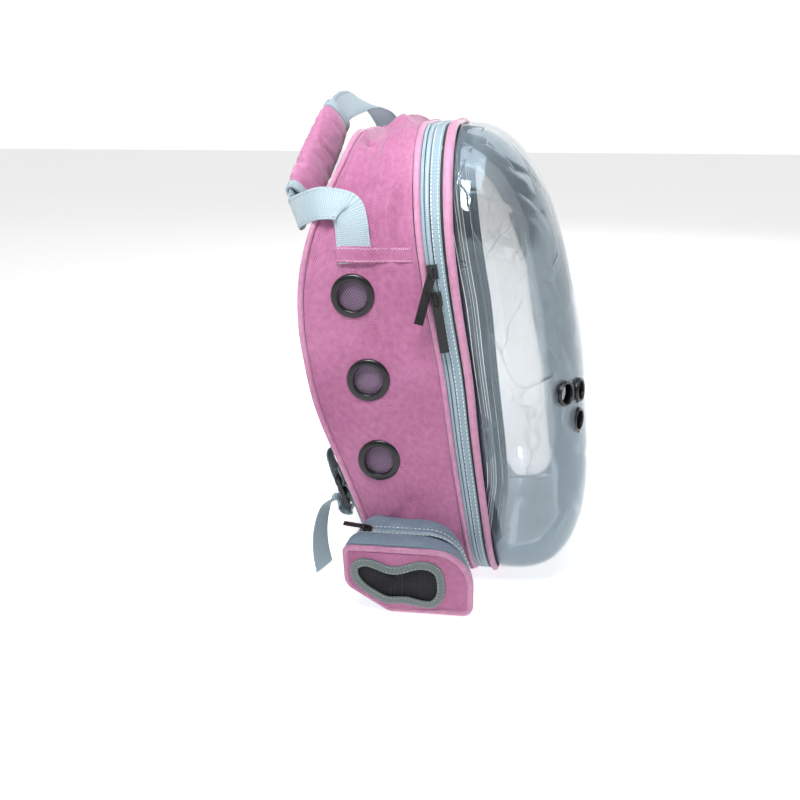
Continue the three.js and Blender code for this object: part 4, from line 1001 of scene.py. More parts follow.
class FabricBody(Assembly):
    """The carrier's cloth: sides, top and base in one band, open at the front and the back."""

    sizes = FabricSizes()
    vents = GrommetSizes()

    def relief(self, along: Array, across: Array) -> Array:
        """The fine relief in mm: hem ridge, yoke dip, puckers, creases and soft waves.

        Each crease adds its depth as a bell curve off its line, and all but the hem, the yoke dip and the
        puckers fade by
        1 - exp(-(d / calm)^4) at d from a grommet's middle, and towards the seams.
        """
        s = self.sizes
        _, z, _, nz = self.shape.outline(along)
        front = self.shape.fabric_front(z)
        width = self.shape.fabric_back(z) - front
        behind = front + across * width
        total = s.soft * ripple(along, behind, 62, 5) + 0.3 * ripple(along, behind, 19, 8)
        for *line, half, depth in s.creases:
            total = total - depth * ridge(along, behind, line, half)
        calm = np.ones_like(total)
        for a, b in self.vents.middles(self.shape):
            calm = calm * (1 - np.exp(-(((along - a) ** 2 + (behind - b) ** 2) / s.calm**2) ** 2))
        total = total * calm * smooth_step((nz + 0.9) / 0.5)
        from_front, from_back = across * width, (1 - across) * width
        edge = np.minimum(from_front, from_back)
        total = total * np.minimum(1, edge / 9)
        gather = np.sin(along / 2.9 + 2 * np.sin(along / 23)) * np.exp(-from_front / 5)
        gather = gather + np.sin(along / 3.7 + 2 * np.sin(along / 31)) * np.exp(-from_back / 7)
        total = total + s.pucker * gather * np.minimum(1, edge / 2)
        total = total - s.yoke_dip * np.exp(-(((from_front - s.yoke) / 3) ** 2))
        upper = smooth_step((nz + 0.3) / 0.3)
        return total + upper * s.hem_height * np.exp(-(((from_back - s.hem) / 2.1) ** 2))

    def build(self) -> None:
        """Makes the cloth, holed at the grommets.

        Outer and inner faces share one grid; cells inside a hole are left out, the hole's rim points are
        drawn onto its circle, and every edge between a kept and a missing cell is closed across the cloth.
        """
        s, shape = self.sizes, self.shape
        along = np.repeat(shape.stations(s.stations)[:, None], s.columns + 1, 1)
        across = np.broadcast_to(np.linspace(0, 1, s.columns + 1), along.shape)
        _, z, _, _ = shape.outline(along)
        front = shape.fabric_front(z)
        width = shape.fabric_back(z) - front
        behind = front + across * width
        kept = np.ones((s.stations, s.columns), bool)
        following = np.roll(along, -1, 0)
        for a, b in self.vents.middles(shape):
            middle_a = (along[:, :-1] + following[:, :-1]) / 2
            middle_b = (behind[:, :-1] + behind[:, 1:]) / 2
            kept &= (middle_a - a) ** 2 + (middle_b - b) ** 2 > s.hole_radius**2
            off_a, off_b = along - a, behind - b
            far = np.hypot(off_a, off_b)
            near = np.abs(far - s.hole_radius) < s.drawn_in
            scale = np.where(near, s.hole_radius / np.maximum(far, 1e-6), 1)
            along = a + off_a * scale
            behind = b + off_b * scale
        across = (behind - front) / width
        relief = self.relief(along, across)
        outer, inner = (shape.on_fabric(along, across, relief + proud) for proud in (0, -shape.wall))
        faces, places = holed_shell(outer, kept, True)
        uv = grid_uv(places, shape.loop_lengths(s.stations), curve_lengths(outer[s.stations // 4]))
        points, faces = used_points(np.concatenate([outer, inner]).reshape(-1, 3), faces)
        piece = mesh_object("body_cloth", points, faces, uv)
        self.finishes["twill"].dress(piece)
        # inner faces get the dark slate lining: partly the lining's own grey, mostly painted shade
        self.finishes["lining"].line(piece, np.arange(len(faces)) // int(kept.sum()) == 1)
        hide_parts("fabric_body")


class SideVents(Assembly):
    """The grommets down each side and the strip of mesh behind them."""

    sizes = GrommetSizes()

    def grommet(self, side: Side, number: int, height: float) -> None:
        """Turns one grommet round X: a rounded flange over the cloth and a barrel through it."""
        s = self.sizes
        along = self.shape.along_at(height, side)
        across = self.shape.across_at(s.behind, height)
        middle = self.shape.on_fabric(along, across, 0.0)
        profile = np.array(s.profile) + (s.hole, 0)
        turn = (np.arange(96) * TAU / 96)[:, None]
        x = middle[0] + side.value * profile[:, 1] + 0 * turn
        y = middle[1] + profile[:, 0] * np.cos(turn)
        z = middle[2] + profile[:, 0] * np.sin(turn)
        name, node = f"vent_grommet_{side.label}_{number}", f"grommet_{side.label}_{number}"
        self.lay(name, node, "plastic", np.stack([x, y, z], -1), np.arange(97.0), np.arange(15.0))

    def screen(self, side: Side) -> None:
        """Lays the mesh strip inside the cloth, its faces a little slack between the grommets."""
        s, shape = self.sizes, self.shape
        margin = s.radius + s.screen_margin
        heights = np.linspace(s.heights[0] - margin, s.heights[-1] + margin, 120)
        along = np.array([shape.along_at(h, side) for h in heights])[:, None]
        across_mm = np.linspace(-1, 1, 26) * margin
        across = shape.across_at(s.behind + across_mm, shape.outline(along)[1])
        depth = 0.35 * ripple(heights[:, None], across_mm[None], 26, 3) - 0.35 - shape.wall - s.screen_gap
        points = folded_sheet(shape, along, across, depth, s.screen_thickness)
        name, node = f"vent_mesh_{side.label}", f"vent_screen_{side.label}"
        self.lay(name, node, "screen", points, heights, there_and_back(across_mm), OPEN)

    def build(self) -> None:
        """Makes both sides' grommets and screens."""
        for side in Side:
            for i, height in enumerate(self.sizes.heights):
                self.grommet(side, i + 1, height)
            self.screen(side)


@dataclass(frozen=True)
class BandSizes:
    """The zip band's finer sizes, in mm."""

    stations: int = 540
    tape_thickness: float = 1.4
    coil_thickness: float = 2.4
    tooth: float = 2.0
    samples_per_tooth: int = 4
    inside: float = 0.1


class ZipBand(Assembly):
    """Everything between the dome and the cloth: pipings, binding, zip tapes and the zip's coil."""

    sizes = BandSizes()

    def loop(self, name: str, node: str, finish: str, middle: float, profile: Array, wave: float) -> None:
        """Sweeps a profile of (behind, proud) places round the body, with a slight wave in its lie; its faces
        turned into the body get painted shade.
        """
        s = self.sizes
        along = self.shape.stations(s.stations)[:, None]
        lift = wave * np.sin(along / 17 + 2 * np.sin(along / 71))
        sway = wave * np.sin(along / 29 + 1.5 * np.sin(along / 97))
        points = self.shape.on_band(along, middle + sway + profile[:, 0], profile[:, 1] + lift)
        u, v = self.shape.loop_lengths(s.stations), profile_lengths(profile)
        piece = sheet_piece(name, points, u, v, CLOSED)
        self.finishes[finish].dress(piece)
        # faces turned into the body get the dark slate lining as painted shade
        inside = (profile[:, 1] < s.inside) & (np.roll(profile[:, 1], -1) < s.inside)
        self.finishes["lining"].line(piece, np.tile(inside, s.stations))
        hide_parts(node)

    def coil(self) -> None:
        """Sweeps the zip's coil: the oval section pinches between the slanted teeth."""
        s, shape = self.sizes, self.shape
        count = int(2 * shape.half_loop / s.tooth) * s.samples_per_tooth
        along = shape.stations(count)[:, None]
        profile = round_profile(8, shape.coil / 2, s.coil_thickness / 2, 2.3)
        phase = TAU * np.arange(count)[:, None] / s.samples_per_tooth + 0.9 * profile[:, 0] / shape.coil * TAU
        pinch = 1 - 0.17 * (0.5 - 0.5 * np.cos(phase))
        middle = shape.coil_start + shape.coil / 2
        points = shape.on_band(along, middle + profile[:, 0] * pinch, profile[:, 1] * pinch)
        self.lay("zip_teeth", "zip_coil", "coil", points, shape.loop_lengths(count), profile_lengths(profile))

    def build(self) -> None:
        """Makes the band from the dome's rim back to the cloth."""
        shape, half = self.shape, self.sizes.tape_thickness / 2
        tape = round_profile(26, shape.front_tape / 2, half, 6)
        tape[:, 1] += 0.35 * np.cos(tape[:, 0] / shape.front_tape * math.pi)
        edge = round_profile(16, shape.binding / 2 + 0.1, half + 0.35, 3)
        rear = round_profile(16, shape.rear_tape / 2, half, 5)
        cord, seam = round_profile(28, shape.dome_piping), round_profile(24, shape.seam_piping)
        edge_middle = shape.binding_start + shape.binding / 2
        tape_middle = shape.tape_start + shape.front_tape / 2
        rear_middle = shape.rear_start + shape.rear_tape / 2
        self.loop("dome_cord", "dome_piping", "piping", 0, cord, 0.25)
        self.loop("seam_cord", "front_seam_piping", "piping", shape.seam_middle, seam, 0.2)
        self.loop("dome_edge_binding", "dome_binding", "binding", edge_middle, edge, 0)
        self.loop("zip_tape_wide", "zip_tape_front", "tape", tape_middle, tape, 0.15)
        self.loop("zip_tape_narrow", "zip_tape_rear", "tape", rear_middle, rear, 0.1)
        self.coil()
        along = shape.stations(900)
        along = np.append(along, along[0])
        _, _, nx, nz = shape.outline(along)
        out = np.stack([nx, 0 * nx, nz], -1)
        for where, behind in (("front", shape.tape_start + 1.7), ("rear", shape.coil_start - 1.3)):
            line = shape.on_band(along, behind, half + 0.3)
            self.sew(f"tape_stitching_{where}", line, out, Stitch(2.6, 1.0, 0.34), "white_thread")


@dataclass(frozen=True)
class DomeSizes:
    """The clear dome and its vents, in mm.

    A vent is a name and shares of the height and half width; a crease is (x, z) twice, half width, depth;
    an eyelet's profile is (past the hole, height).
    """

    depth: float = 99.0
    wall: float = 2.0
    fullness_base: float = 3.0
    fullness_top: float = 2.3
    lip: float = 6.0
    stations: int = 360
    rings: int = 60
    vents: tuple = (("left", 0.445, -0.77), ("right", 0.435, -0.59), ("low", 0.37, -0.62))
    vent_hole: float = 8.6
    vent_cut: float = 10.6
    calm: float = 19.0
    eyelet: tuple = (
        (0, -3.8), (0, 2.8), (0.25, 3.45), (0.9, 3.8), (1.9, 3.8), (1.8, 3.3), (2.6, 2.8), (2.8, 1.8),
        (2.4, 0.15), (1.2, 0.15), (1.2, -3.8),
    )
    creases: tuple = (
        (-112, 352, -84, 330, 3.6, 2.1), (-124, 338, -92, 318, 3.0, -1.5), (-96, 366, -60, 352, 3.6, 1.8),
        (-60, 372, -30, 340, 4.2, 1.4), (-30, 330, -52, 262, 5.4, 1.2), (-20, 296, 34, 238, 4.8, 1.0),
        (40, 342, 84, 300, 4.8, 1.2), (-120, 250, -86, 170, 4.8, 1.2), (-98, 122, -44, 96, 4.2, 1.2),
        (-124, 84, -92, 58, 3.6, 1.8), (-84, 46, -30, 34, 3.6, 1.7), (20, 40, 78, 60, 4.2, 1.4),
        (74, 210, 104, 148, 4.8, 1.2), (6, 128, 52, 96, 3.6, 0.9),
    )


class Dome(Assembly):
    """The clear vacuum-formed window and the eyelets in it."""

    sizes = DomeSizes()

    def dent(self, x: Array, z: Array) -> Array:
        """The film's creases and slack in mm, by the place across and up, calm round the vents."""
        s = self.sizes
        total = 0.5 * ripple(x, z, 88, 21)
        for *line, half, depth in s.creases:
            total = total + depth * ridge(x, z, line, half)
        for _, height, across in s.vents:
            vx, vz = across * self.shape.width / 2, height * self.shape.height
            total = total * (1 - np.exp(-(((x - vx) ** 2 + (z - vz) ** 2) / s.calm**2) ** 2))
        return total

    def fullness(self, rim_z: Array) -> Array:
        """The superellipse's power on the way to a place on the rim."""
        s = self.sizes
        return s.fullness_base + (s.fullness_top - s.fullness_base) * np.clip(rim_z / self.shape.height, 0, 1)

    def skin(self, inset: float) -> Array:
        """One face of the dome: its flat lip, then a superellipse over the rim.

        At angle t from the rim the outline is scaled by cos(t)^(2 / n) about the middle and the film
        rises by sin(t)^(2 / n), less the creases, which fade out at the rim.
        """
        s, shape = self.sizes, self.shape
        along = shape.stations(s.stations)[:, None]
        setback = shape.dome_piping + shape.clearance
        rim = shape.on_band(along, np.array([shape.dome_piping, 0.0, -setback]), -setback - inset)
        angle = np.linspace(0, 1, s.rings) ** 0.85 * math.radians(89.86)
        edge = shape.on_band(along, 0.0, -inset)
        power = 2 / self.fullness(edge[..., 2])
        spread = np.cos(angle) ** power
        middle = shape.height / 2
        x = edge[..., 0] * spread
        z = middle + (edge[..., 2] - middle) * spread
        dent = self.dent(x, z) * smooth_step(angle / 0.35)
        y = shape.rim_y(z) - s.lip - (s.depth - s.lip - inset) * np.sin(angle) ** power + dent
        return np.concatenate([rim, np.stack([x, y, z], -1)], 1)

    def vent_frame(self, height: float, across: float) -> tuple[Array, Array]:
        """A vent's middle and its three directions, the last one out of the dome."""
        s, shape = self.sizes, self.shape
        middle = shape.height / 2

        def face(x: float, z: float) -> Array:
            share = math.hypot(x / (shape.width / 2), (z - middle) / middle)
            power = float(self.fullness(middle + (z - middle) / share))
            rise = (1 - share**power) ** (1 / power)
            return np.array([x, shape.rim_y(z) - s.lip - (s.depth - s.lip) * rise, z])

        x, z = across * shape.width / 2, height * shape.height
        out = unit(np.cross(face(x + 5, z) - face(x - 5, z), face(x, z + 5) - face(x, z - 5)))
        out = -out if out[1] > 0 else out
        level = unit(np.cross([0, 0, 1], out))
        return face(x, z), np.stack([level, np.cross(out, level), out])

    def film(self) -> None:
        """Makes the film, both faces and its cut edges, with the vents' holes left out as in the cloth."""
        s = self.sizes
        outer, inner = self.skin(0), self.skin(s.wall)
        rows, columns = outer.shape[:2]
        following = np.roll(outer, -1, 0)
        cells = (outer[:, :-1] + outer[:, 1:] + following[:, :-1] + following[:, 1:]) / 4
        kept = np.ones(cells.shape[:2], bool)
        for _, height, across in s.vents:
            middle, axes = self.vent_frame(height, across)
            off = (cells - middle) @ axes.T
            kept &= (np.sum(off[..., :2] ** 2, -1) > s.vent_cut**2) | (np.abs(off[..., 2]) >= 20)
        faces, _ = holed_shell(outer, kept, False)
        pole = cap_strip(rows) * columns + columns - 1
        faces = np.vstack([faces, pole[:, ::-1], pole + rows * columns])
        points, faces = used_points(np.concatenate([outer, inner]).reshape(-1, 3), faces)
        self.finish(mesh_object("dome_film", points, faces, None), "dome", "film")

    def build(self) -> None:
        """Makes the film and turns its eyelets, each round its vent's own axis."""
        s = self.sizes
        self.film()
        profile = np.array(s.eyelet) + (s.vent_hole, 0)
        turn = (np.arange(72) * TAU / 72)[:, None, None]
        for label, height, across in s.vents:
            middle, axes = self.vent_frame(height, across)
            ring = np.cos(turn) * axes[0] + np.sin(turn) * axes[1]
            points = middle + ring * profile[:, :1] + axes[2] * profile[:, 1:]
            name, node = f"dome_eyelet_{label}", f"vent_eyelet_{label}"
            self.lay(name, node, "plastic", points, np.arange(73.0), np.arange(12.0))


@dataclass(frozen=True)
class BackSizes:
    """The padded back and its edge, in mm."""

    thickness: float = 5.5
    crown: float = 6.0
    channels: tuple = (-66.0, 0.0, 66.0)
    channel_width: float = 5.0
    channel_depth: float = 2.6
    margin: float = 26.0
    stations: int = 360
    cord_stations: int = 540


class BackPanel(Assembly):
    """The back: a piping round its edge and a crowned spacer-mesh pad sewn into channels."""

    sizes = BackSizes()

    def lift(self, share: Array) -> Array:
        """How far the solid pad stands behind the cloth, by its share of the way out."""
        return self.sizes.thickness + self.sizes.crown * (1 - share * share)

    def on_panel(self, x: float, z: float, proud: float) -> Array:
        """A place off the pad's surface."""
        shape = self.shape
        share = min(1.0, max(abs(x) / (shape.width / 2), abs(z - shape.height / 2) / (shape.height / 2)))
        y = shape.rim_y(z) + shape.fabric_back(z) + self.lift(share)
        return np.array([x, y + proud, z])

    def face(self, share: Array, front: bool) -> Array:
        """One face of the pad: the seam's outline drawn in by each share, its rear crowned and channelled."""
        shape, s = self.shape, self.sizes
        along = shape.stations(s.stations)[:, None]
        rim = shape.on_back_seam(along, 0.0, -shape.seam_piping - shape.clearance)
        middle = shape.height / 2
        x = rim[..., 0] * share
        z = middle + (rim[..., 2] - middle) * share
        base = shape.rim_y(z) + shape.fabric_back(z)
        if front:
            return np.stack([x, base + shape.clearance, z], -1)
        edge = smooth_step((1 - share) / 0.07)
        y = base + (self.lift(share) - 1.0) * (0.35 + 0.65 * edge)
        inside = smooth_step((shape.width / 2 - s.margin - np.abs(x)) / 12)
        inside = inside * smooth_step((middle - s.margin - np.abs(z - middle)) / 12)
        for channel in s.channels:
            y = y - s.channel_depth * np.exp(-(((x - channel) / s.channel_width) ** 2)) * inside
        return np.stack([x, y + 0.5 * ripple(x, z, 55, 31) * edge, z], -1)

    def build(self) -> None:
        """Makes the piping and the pad."""
        shape, count = self.shape, self.sizes.cord_stations
        profile = round_profile(24, shape.seam_piping)
        along = shape.stations(count)[:, None]
        wave = 0.25 * np.sin(along / 19 + 2 * np.sin(along / 61))
        middle = shape.seam_piping + shape.clearance
        points = shape.on_back_seam(along, middle + profile[:, 0], profile[:, 1] + wave)
        u, v = shape.loop_lengths(count), profile_lengths(profile)
        self.lay("back_cord", "back_piping", "piping", points, u, v)
        share = np.concatenate([1 - np.linspace(0, 0.12, 14), np.linspace(0.88, 0.004, 60)[1:]])
        ring = np.concatenate([self.face(share, False)[:, ::-1], self.face(share[[0, 20, -1]], True)], 1)
        faces = closed_pan(ring)
        points = ring.reshape(-1, 3)
        pad = mesh_object("back_pad", points, faces, points[faces][..., [0, 2]])
        self.finish(pad, "back_panel", "spacer")


@dataclass(frozen=True)
class PocketSizes:
    """A side pocket, in mm, or as shares of its length and height.

    A corner is forward, up and bend at the mouth, then forward and up at the root.
    """

    length: float = 80.0
    height: float = 69.0
    reach: float = 48.0
    flare: float = 0.43
    drop: float = 0.14
    rear_share: float = 0.55
    wall: float = 2.5
    rear: float = 60.0
    underside: float = 1.0
    piping: float = 2.6
    coil: float = 4.0
    coil_proud: float = 0.6
    zip_share: float = 0.5
    puff: float = 2.4
    seam: float = 2.2
    face_set: float = 2.1
    window_length: float = 76.0
    window_height: float = 36.0
    window_at: tuple = (0.36, 0.405)
    binding: float = 7.0
    points: int = 300
    point_pitch: float = 0.92
    frame_points: int = 240
    corners: tuple = ((1, 0, 0.14, 1, 0), (1, 1, 0.5, 1, 1), (0, 1, 0.1, 0, 1), (0.02, 0.36, 0.2, 0, 0.82),
                      (0.36, 0, 0.2, 0.26, 0))
    window: tuple = (
        (0.5, 0.1), (0.47, 0.36), (0.36, 0.5), (0.22, 0.48), (0.08, 0.36), (-0.08, 0.32), (-0.22, 0.44),
        (-0.36, 0.5), (-0.47, 0.4), (-0.46, 0.12), (-0.36, -0.1), (-0.23, -0.27), (-0.1, -0.42), (0.1, -0.36),
        (0.26, -0.46), (0.42, -0.5), (0.5, -0.24),
    )


def closed_even(points: Array, count: int) -> Array:
    """Places a closed line's points again at even distances."""
    ring = np.vstack([points, points[:1]])
    lengths = curve_lengths(ring)
    at = np.arange(count) * lengths[-1] / count
    return np.stack([np.interp(at, lengths, ring[:, k]) for k in range(points.shape[1])], -1)


def ring_out(ring: Array) -> Array:
    """The directions out of a closed (y, z) line."""
    run = unit(np.roll(ring, -1, 0) - np.roll(ring, 1, 0))
    normal = np.stack([run[:, 1], -run[:, 0]], -1)
    inwards = np.sum(normal * (ring - ring.mean(0)), -1).mean() < 0
    return -normal if inwards else normal


class SidePocket(Assembly):
    """One side pocket: a puffed gusset with a curved zip, a piped face and a mesh window in a bound frame."""

    sizes = PocketSizes()

    def at(self, distance: Array, ring: Array) -> Array:
        """Puts (y, z) places at a distance from the carrier's middle, on the pocket's side."""
        x = np.broadcast_to(self.side.value * np.asarray(distance, float), ring.shape[:-1])
        return np.concatenate([x[..., None], ring], -1)

    def outline(self, share: float, inset: float) -> Array:
        """The pocket's outline at a share of its reach, moved in by an inset, as even (y, z) places."""
        s = self.sizes
        grow = 1 + s.flare * share
        corner = np.array([(rf + (f - rf) * share, ru + (u - ru) * share) for f, u, _, rf, ru in s.corners])
        y = s.rear - s.length * (corner[:, 0] * grow - s.flare * share * s.rear_share)
        place = np.stack([y, s.underside + s.height * corner[:, 1] * (1 - s.drop * share)], -1)
        a = unit(place - np.roll(place, 1, 0))
        b = unit(np.roll(place, -1, 0) - place)
        turn = np.arccos(np.clip(np.sum(a * b, -1), -1, 1))
        half = np.tan(turn / 2)
        normal = np.stack([a[:, 1], -a[:, 0]], -1)
        place = place + inset * (normal - a * half[:, None])
        points = []
        for i, (_, _, bend, _, _) in enumerate(s.corners):
            radius = max(bend * s.height - inset, 1.5)
            start = place[i] - a[i] * radius * half[i]
            centre = start + normal[i] * radius
            steps = -turn[i] * np.linspace(0, 1, 24)
            (ay, az), c, d = start - centre, np.cos(steps), np.sin(steps)
            points.append(centre + np.stack([ay * c - az * d, ay * d + az * c], -1))
        return closed_even(np.vstack(points), s.points)

    def root(self, ring: Array) -> Array:
        """How far from the body's middle the cloth lies at each (y, z), found down the body's curved side."""
        shape = self.shape
        along = np.linspace(shape.side_start, shape.side_end + math.pi / 2 * shape.bottom_radius, 400)
        _, z, _, _ = shape.outline(along)
        out = np.interp(ring[:, 1], z[::-1], along[::-1])
        x, z, nx, nz = shape.outline(out)
        across = shape.across_at(ring[:, 0] - shape.rim_y(z), z)
        return x + nx * shape.swell(out, z, nz, across) - 1.4

    def tube(self, name: str, node: str, starts: Array, end: float, puff: float, steps: int) -> None:
        """Makes a stretch of the gusset, puffed between its two edges, with an inner face."""
        s = self.sizes
        t = np.linspace(0, 1, steps)
        low, high = self.outline(0, 0), self.outline(1, 0)
        length = np.arange(s.points) * 0.87
        outer, inner = [], []
        for share in t:
            distance = starts + (end - starts) * share
            flared = np.clip((distance - self.shape.width / 2) / s.reach, 0, 1)
            ring = low + (high - low) * flared[:, None]
            out = ring_out(ring)
            crumple = 0.55 * ripple(length, distance, 17, 41) + 0.35 * ripple(length, distance, 8, 44)
            up = smooth_step((out[:, 1] + 0.75) / 0.5)
            bow = math.sin(math.pi * share)
            swell = (puff * bow**0.8 + crumple * bow) * up
            for faces, depth in ((outer, 0.0), (inner, -s.wall)):
                faces.append(self.at(distance, ring + out * (swell + depth)[:, None]))
        width = (end - starts.mean()) * there_and_back(t)
        points = np.stack(outer + inner[::-1], 1)
        self.lay(*self.names(name, node), "gusset", points, np.arange(s.points + 1) * s.point_pitch, width)

    def sweep(self, name: str, node: str, finish: str, distance: float, inset: float, profile: Array) -> None:
        """Sweeps an (out of the pocket, away from the body) profile round the pocket's outline."""
        s = self.sizes
        ring = self.outline((distance - self.shape.width / 2) / s.reach, inset)
        section = np.broadcast_to(profile, (s.points, *profile.shape[-2:]))
        place = ring[:, None] + ring_out(ring)[:, None] * section[..., :1]
        points = self.at(distance + section[..., 1], place)
        u = np.arange(s.points + 1) * s.point_pitch
        self.lay(*self.names(name, node), finish, points, u, profile_lengths(section[0]))

    @property
    def window_middle(self) -> Array:
        """The window's middle as (y, z)."""
        s = self.sizes
        return np.array([s.rear - s.length * s.window_at[0], s.underside + s.height * s.window_at[1]])

    def window_ring(self, grow: float) -> Array:
        """The window's outline moved outwards, as (y, z) places."""
        s = self.sizes
        fine = closed_even(np.array(s.window) * (-s.window_length, s.window_height), s.frame_points)
        for _ in range(40):
            fine = (np.roll(fine, 1, 0) + 2 * fine + np.roll(fine, -1, 0)) / 4
        return self.window_middle + fine + ring_out(fine) * grow

    def bulge(self, ring: Array) -> Array:
        """How far the face stands out at (y, z), most in its middle and slightly uneven."""
        s = self.sizes
        off = (ring - self.window_middle) / (s.length * 0.68, s.height * 0.47)
        calm = np.clip(1 - np.sum(off**2, -1), 0, 1)
        return 4.2 * calm + 0.35 * ripple(ring[..., 0], ring[..., 1], 21, 52) * np.minimum(1, 4 * calm)

    def face(self, face_x: float) -> None:
        """Makes the pink face between its piping and the window, by angle round the window's middle."""
        s = self.sizes
        middle = self.window_middle
        turn = np.linspace(-math.pi, math.pi, s.frame_points + 1)[:-1]

        def reach(ring: Array) -> Array:
            off = ring - middle
            angle = np.arctan2(off[:, 1], off[:, 0])
            order = np.argsort(angle)
            return np.interp(turn, angle[order], np.hypot(*off.T)[order], period=TAU)

        far, near = reach(self.outline(1, 2 * s.piping - 0.6)), reach(self.window_ring(0))
        radius = near[:, None] + (far - near)[:, None] * np.linspace(0, 1, 16)
        ring = middle + radius[..., None] * np.stack([np.cos(turn), np.sin(turn)], -1)[:, None]
        out = face_x + self.bulge(ring)
        points = np.concatenate([self.at(out, ring), self.at(out - s.wall + 0.8, ring)[:, ::-1]], 1)
        faces, _ = grid_faces(*points.shape[:2], True, True)
        flat = points.reshape(-1, 3)
        name, node = self.names("pocket_front", "pocket_face")
        self.finish(mesh_object(name, flat, faces, flat[faces][..., [1, 2]]), node, "twill")

    def window(self, face_x: float) -> None:
        """Makes the window's bound frame, its stitching and the ribbed mesh behind it."""
        s = self.sizes
        middle_line = self.window_ring(s.binding * 0.1)
        profile = round_profile(22, s.binding / 2, 1.25, 3)
        gather = 0.25 * np.sin(np.arange(s.frame_points) * 0.9)[:, None]
        place = middle_line[:, None] + ring_out(middle_line)[:, None] * profile[None, :, :1]
        out = face_x + self.bulge(place) + 0.7 + profile[:, 1] * (1 + 0.15 * gather) + 0.2 * gather
        u = np.arange(s.frame_points + 1) * 0.9
        names = self.names("window_frame", "pocket_window_rim")
        self.lay(*names, "window_binding", self.at(out, place), u, profile_lengths(profile))
        for where, grow in (("outer", s.binding * 0.1 + 2.4), ("inner", s.binding * 0.1 - 2.4)):
            line = self.window_ring(grow)
            path = self.at(face_x + self.bulge(line) + 1.75, line)
            path = np.vstack([path, path[:1]])
            away = np.broadcast_to([float(self.side.value), 0.0, 0.0], path.shape)
            (name,) = self.names(f"window_stitching_{where}")
            self.sew(name, path, away, Stitch(2.2, 0.9, 0.26), "grey_thread")
        rim = self.window_ring(s.binding * 0.5)
        centre = rim.mean(0)
        ring = centre + (rim[:, None] - centre) * np.linspace(1, 0.04, 20)[:, None]
        out = face_x - 1.0 + self.bulge(ring) * 0.75 + 0.5 * np.sin(ring[..., 0] * TAU / 3.1)
        points = np.concatenate([self.at(out, ring)[:, ::-1], self.at(out - 0.8, ring)], 1)
        faces = closed_pan(points)
        flat = points.reshape(-1, 3)
        name, node = self.names("window_mesh", "pocket_mesh")
        self.finish(mesh_object(name, flat, faces, flat[faces][..., [1, 2]]), node, "window_mesh")

    def build(self) -> None:
        """Makes the whole pocket."""
        s, root = self.sizes, self.shape.width / 2
        zip_middle = root + s.reach * s.zip_share
        zip_half = s.coil / 2 + 0.1
        band_end = root + s.reach - 2 * s.piping + 0.4
        roots = self.root(self.outline(0, 0))
        self.tube("pocket_gusset", "pocket_band", roots, zip_middle - zip_half, s.puff, 20)
        starts = np.full(s.points, zip_middle + zip_half)
        self.tube("pocket_gusset_front", "pocket_rim", starts, band_end, s.puff * 0.7, 14)
        teeth = 0.16 * np.cos(np.arange(s.points) * TAU / 3)[:, None, None]
        coil = round_profile(12, 1.5, s.coil / 2, 2.4) * (1 + teeth) + np.array([s.coil_proud - 1.0, 0])
        self.sweep("pocket_teeth", "pocket_coil", "coil", zip_middle, 0, coil)
        cord_at = root + s.reach - s.piping
        self.sweep("pocket_cord", "pocket_piping", "piping", cord_at, s.piping, round_profile(22, s.piping))
        face_x = root + s.reach - s.face_set
        self.face(face_x)
        self.window(face_x)
        for where, sign in (("rear", -1), ("front", 1)):
            distance = zip_middle + sign * (s.coil / 2 + s.seam)
            ring = self.outline((distance - root) / s.reach, 0)
            out = ring_out(ring)
            path = self.at(distance, ring + out * 1.35 * smooth_step((out[:, 1:] + 0.75) / 0.5))
            away = np.concatenate([np.zeros((s.points, 1)), out], -1)
            top = out[:, 1] > -0.9
            start = int(np.argmax(top & ~np.roll(top, 1)))
            path, away, top = (np.roll(rows, -start, 0) for rows in (path, away, top))
            (name,) = self.names(f"pocket_stitching_{where}")
            self.sew(name, path[top], away[top], Stitch(2.6, 1.1, 0.36), "white_thread")
        self.cast(*self.names("pocket_zip_slider", "pocket_slider"), ROOT, 0.35)
        self.cast(*self.names("pocket_zip_pull", "pocket_pull"), f"{self.side.label}_pocket_pull", 0.3)


@dataclass(frozen=True)
class HandleSizes:
    """The carry handle, in mm; places along its path are shares of the body's sizes."""

    width: float = 28.0
    thickness: float = 1.6
    grip_wall: float = 3.0
    trim: float = 9.0
    patch_low: float = 294.0
    patch_height: float = 13.0
    patch_front: float = 4.0
    behind: float = 78.0
    grip_row: int = 9
    grip_half: float = 5.0
    grip_creases: tuple = ((0.2, 6, 1.0), (0.34, -5, 0.7), (0.55, 4, 0.9), (0.78, -7, 1.1))
    turns: int = 72
    stations: int = 420
    stitch_inset: float = 2.6
    on_cloth: tuple = (
        (-1, 1.5, 0.555, 0.735, (0, 1, 0)), (-1, 1.6, 0.555, 0.775, (0, 1, 0)),
        (-1, 2.4, 0.56, 0.812, (0, 0.95, -0.3)), (-1, 3.6, 0.585, 0.836, (-0.4, 0.6, -0.65)),
        (1, 1.6, 0.555, 0.775, (0, -1, 0)), (1, 1.5, 0.555, 0.735, (0, -1, 0)),
    )
    free: tuple = (
        (-0.995, 0.64, 0.85, (-0.55, 0.1, -0.8)), (-0.985, 0.75, 0.851, (-0.38, 0.05, -0.9)),
        (-0.905, 0.87, 0.836, (-0.2, 0, -0.96)), (-0.74, 0.965, 0.818, (0.05, -0.3, -0.94)),
        (-0.545, 0.995, 0.812, (0.3, -0.42, -0.84)), (-0.47, 1.0, 0.835, (0.43, -0.45, -0.79)),
        (0.26, 0.875, 1.018, (0.43, -0.45, -0.79)), (0.45, 0.845, 1.04, (0.36, -0.6, -0.7)),
        (0.66, 0.77, 1.045, (0.2, -0.85, -0.45)), (0.86, 0.66, 1.01, (-0.05, -0.98, -0.15)),
        (1.01, 0.58, 0.93, (-0.05, -1, 0)), (1.06, 0.555, 0.84, (0, -1, 0)),
    )


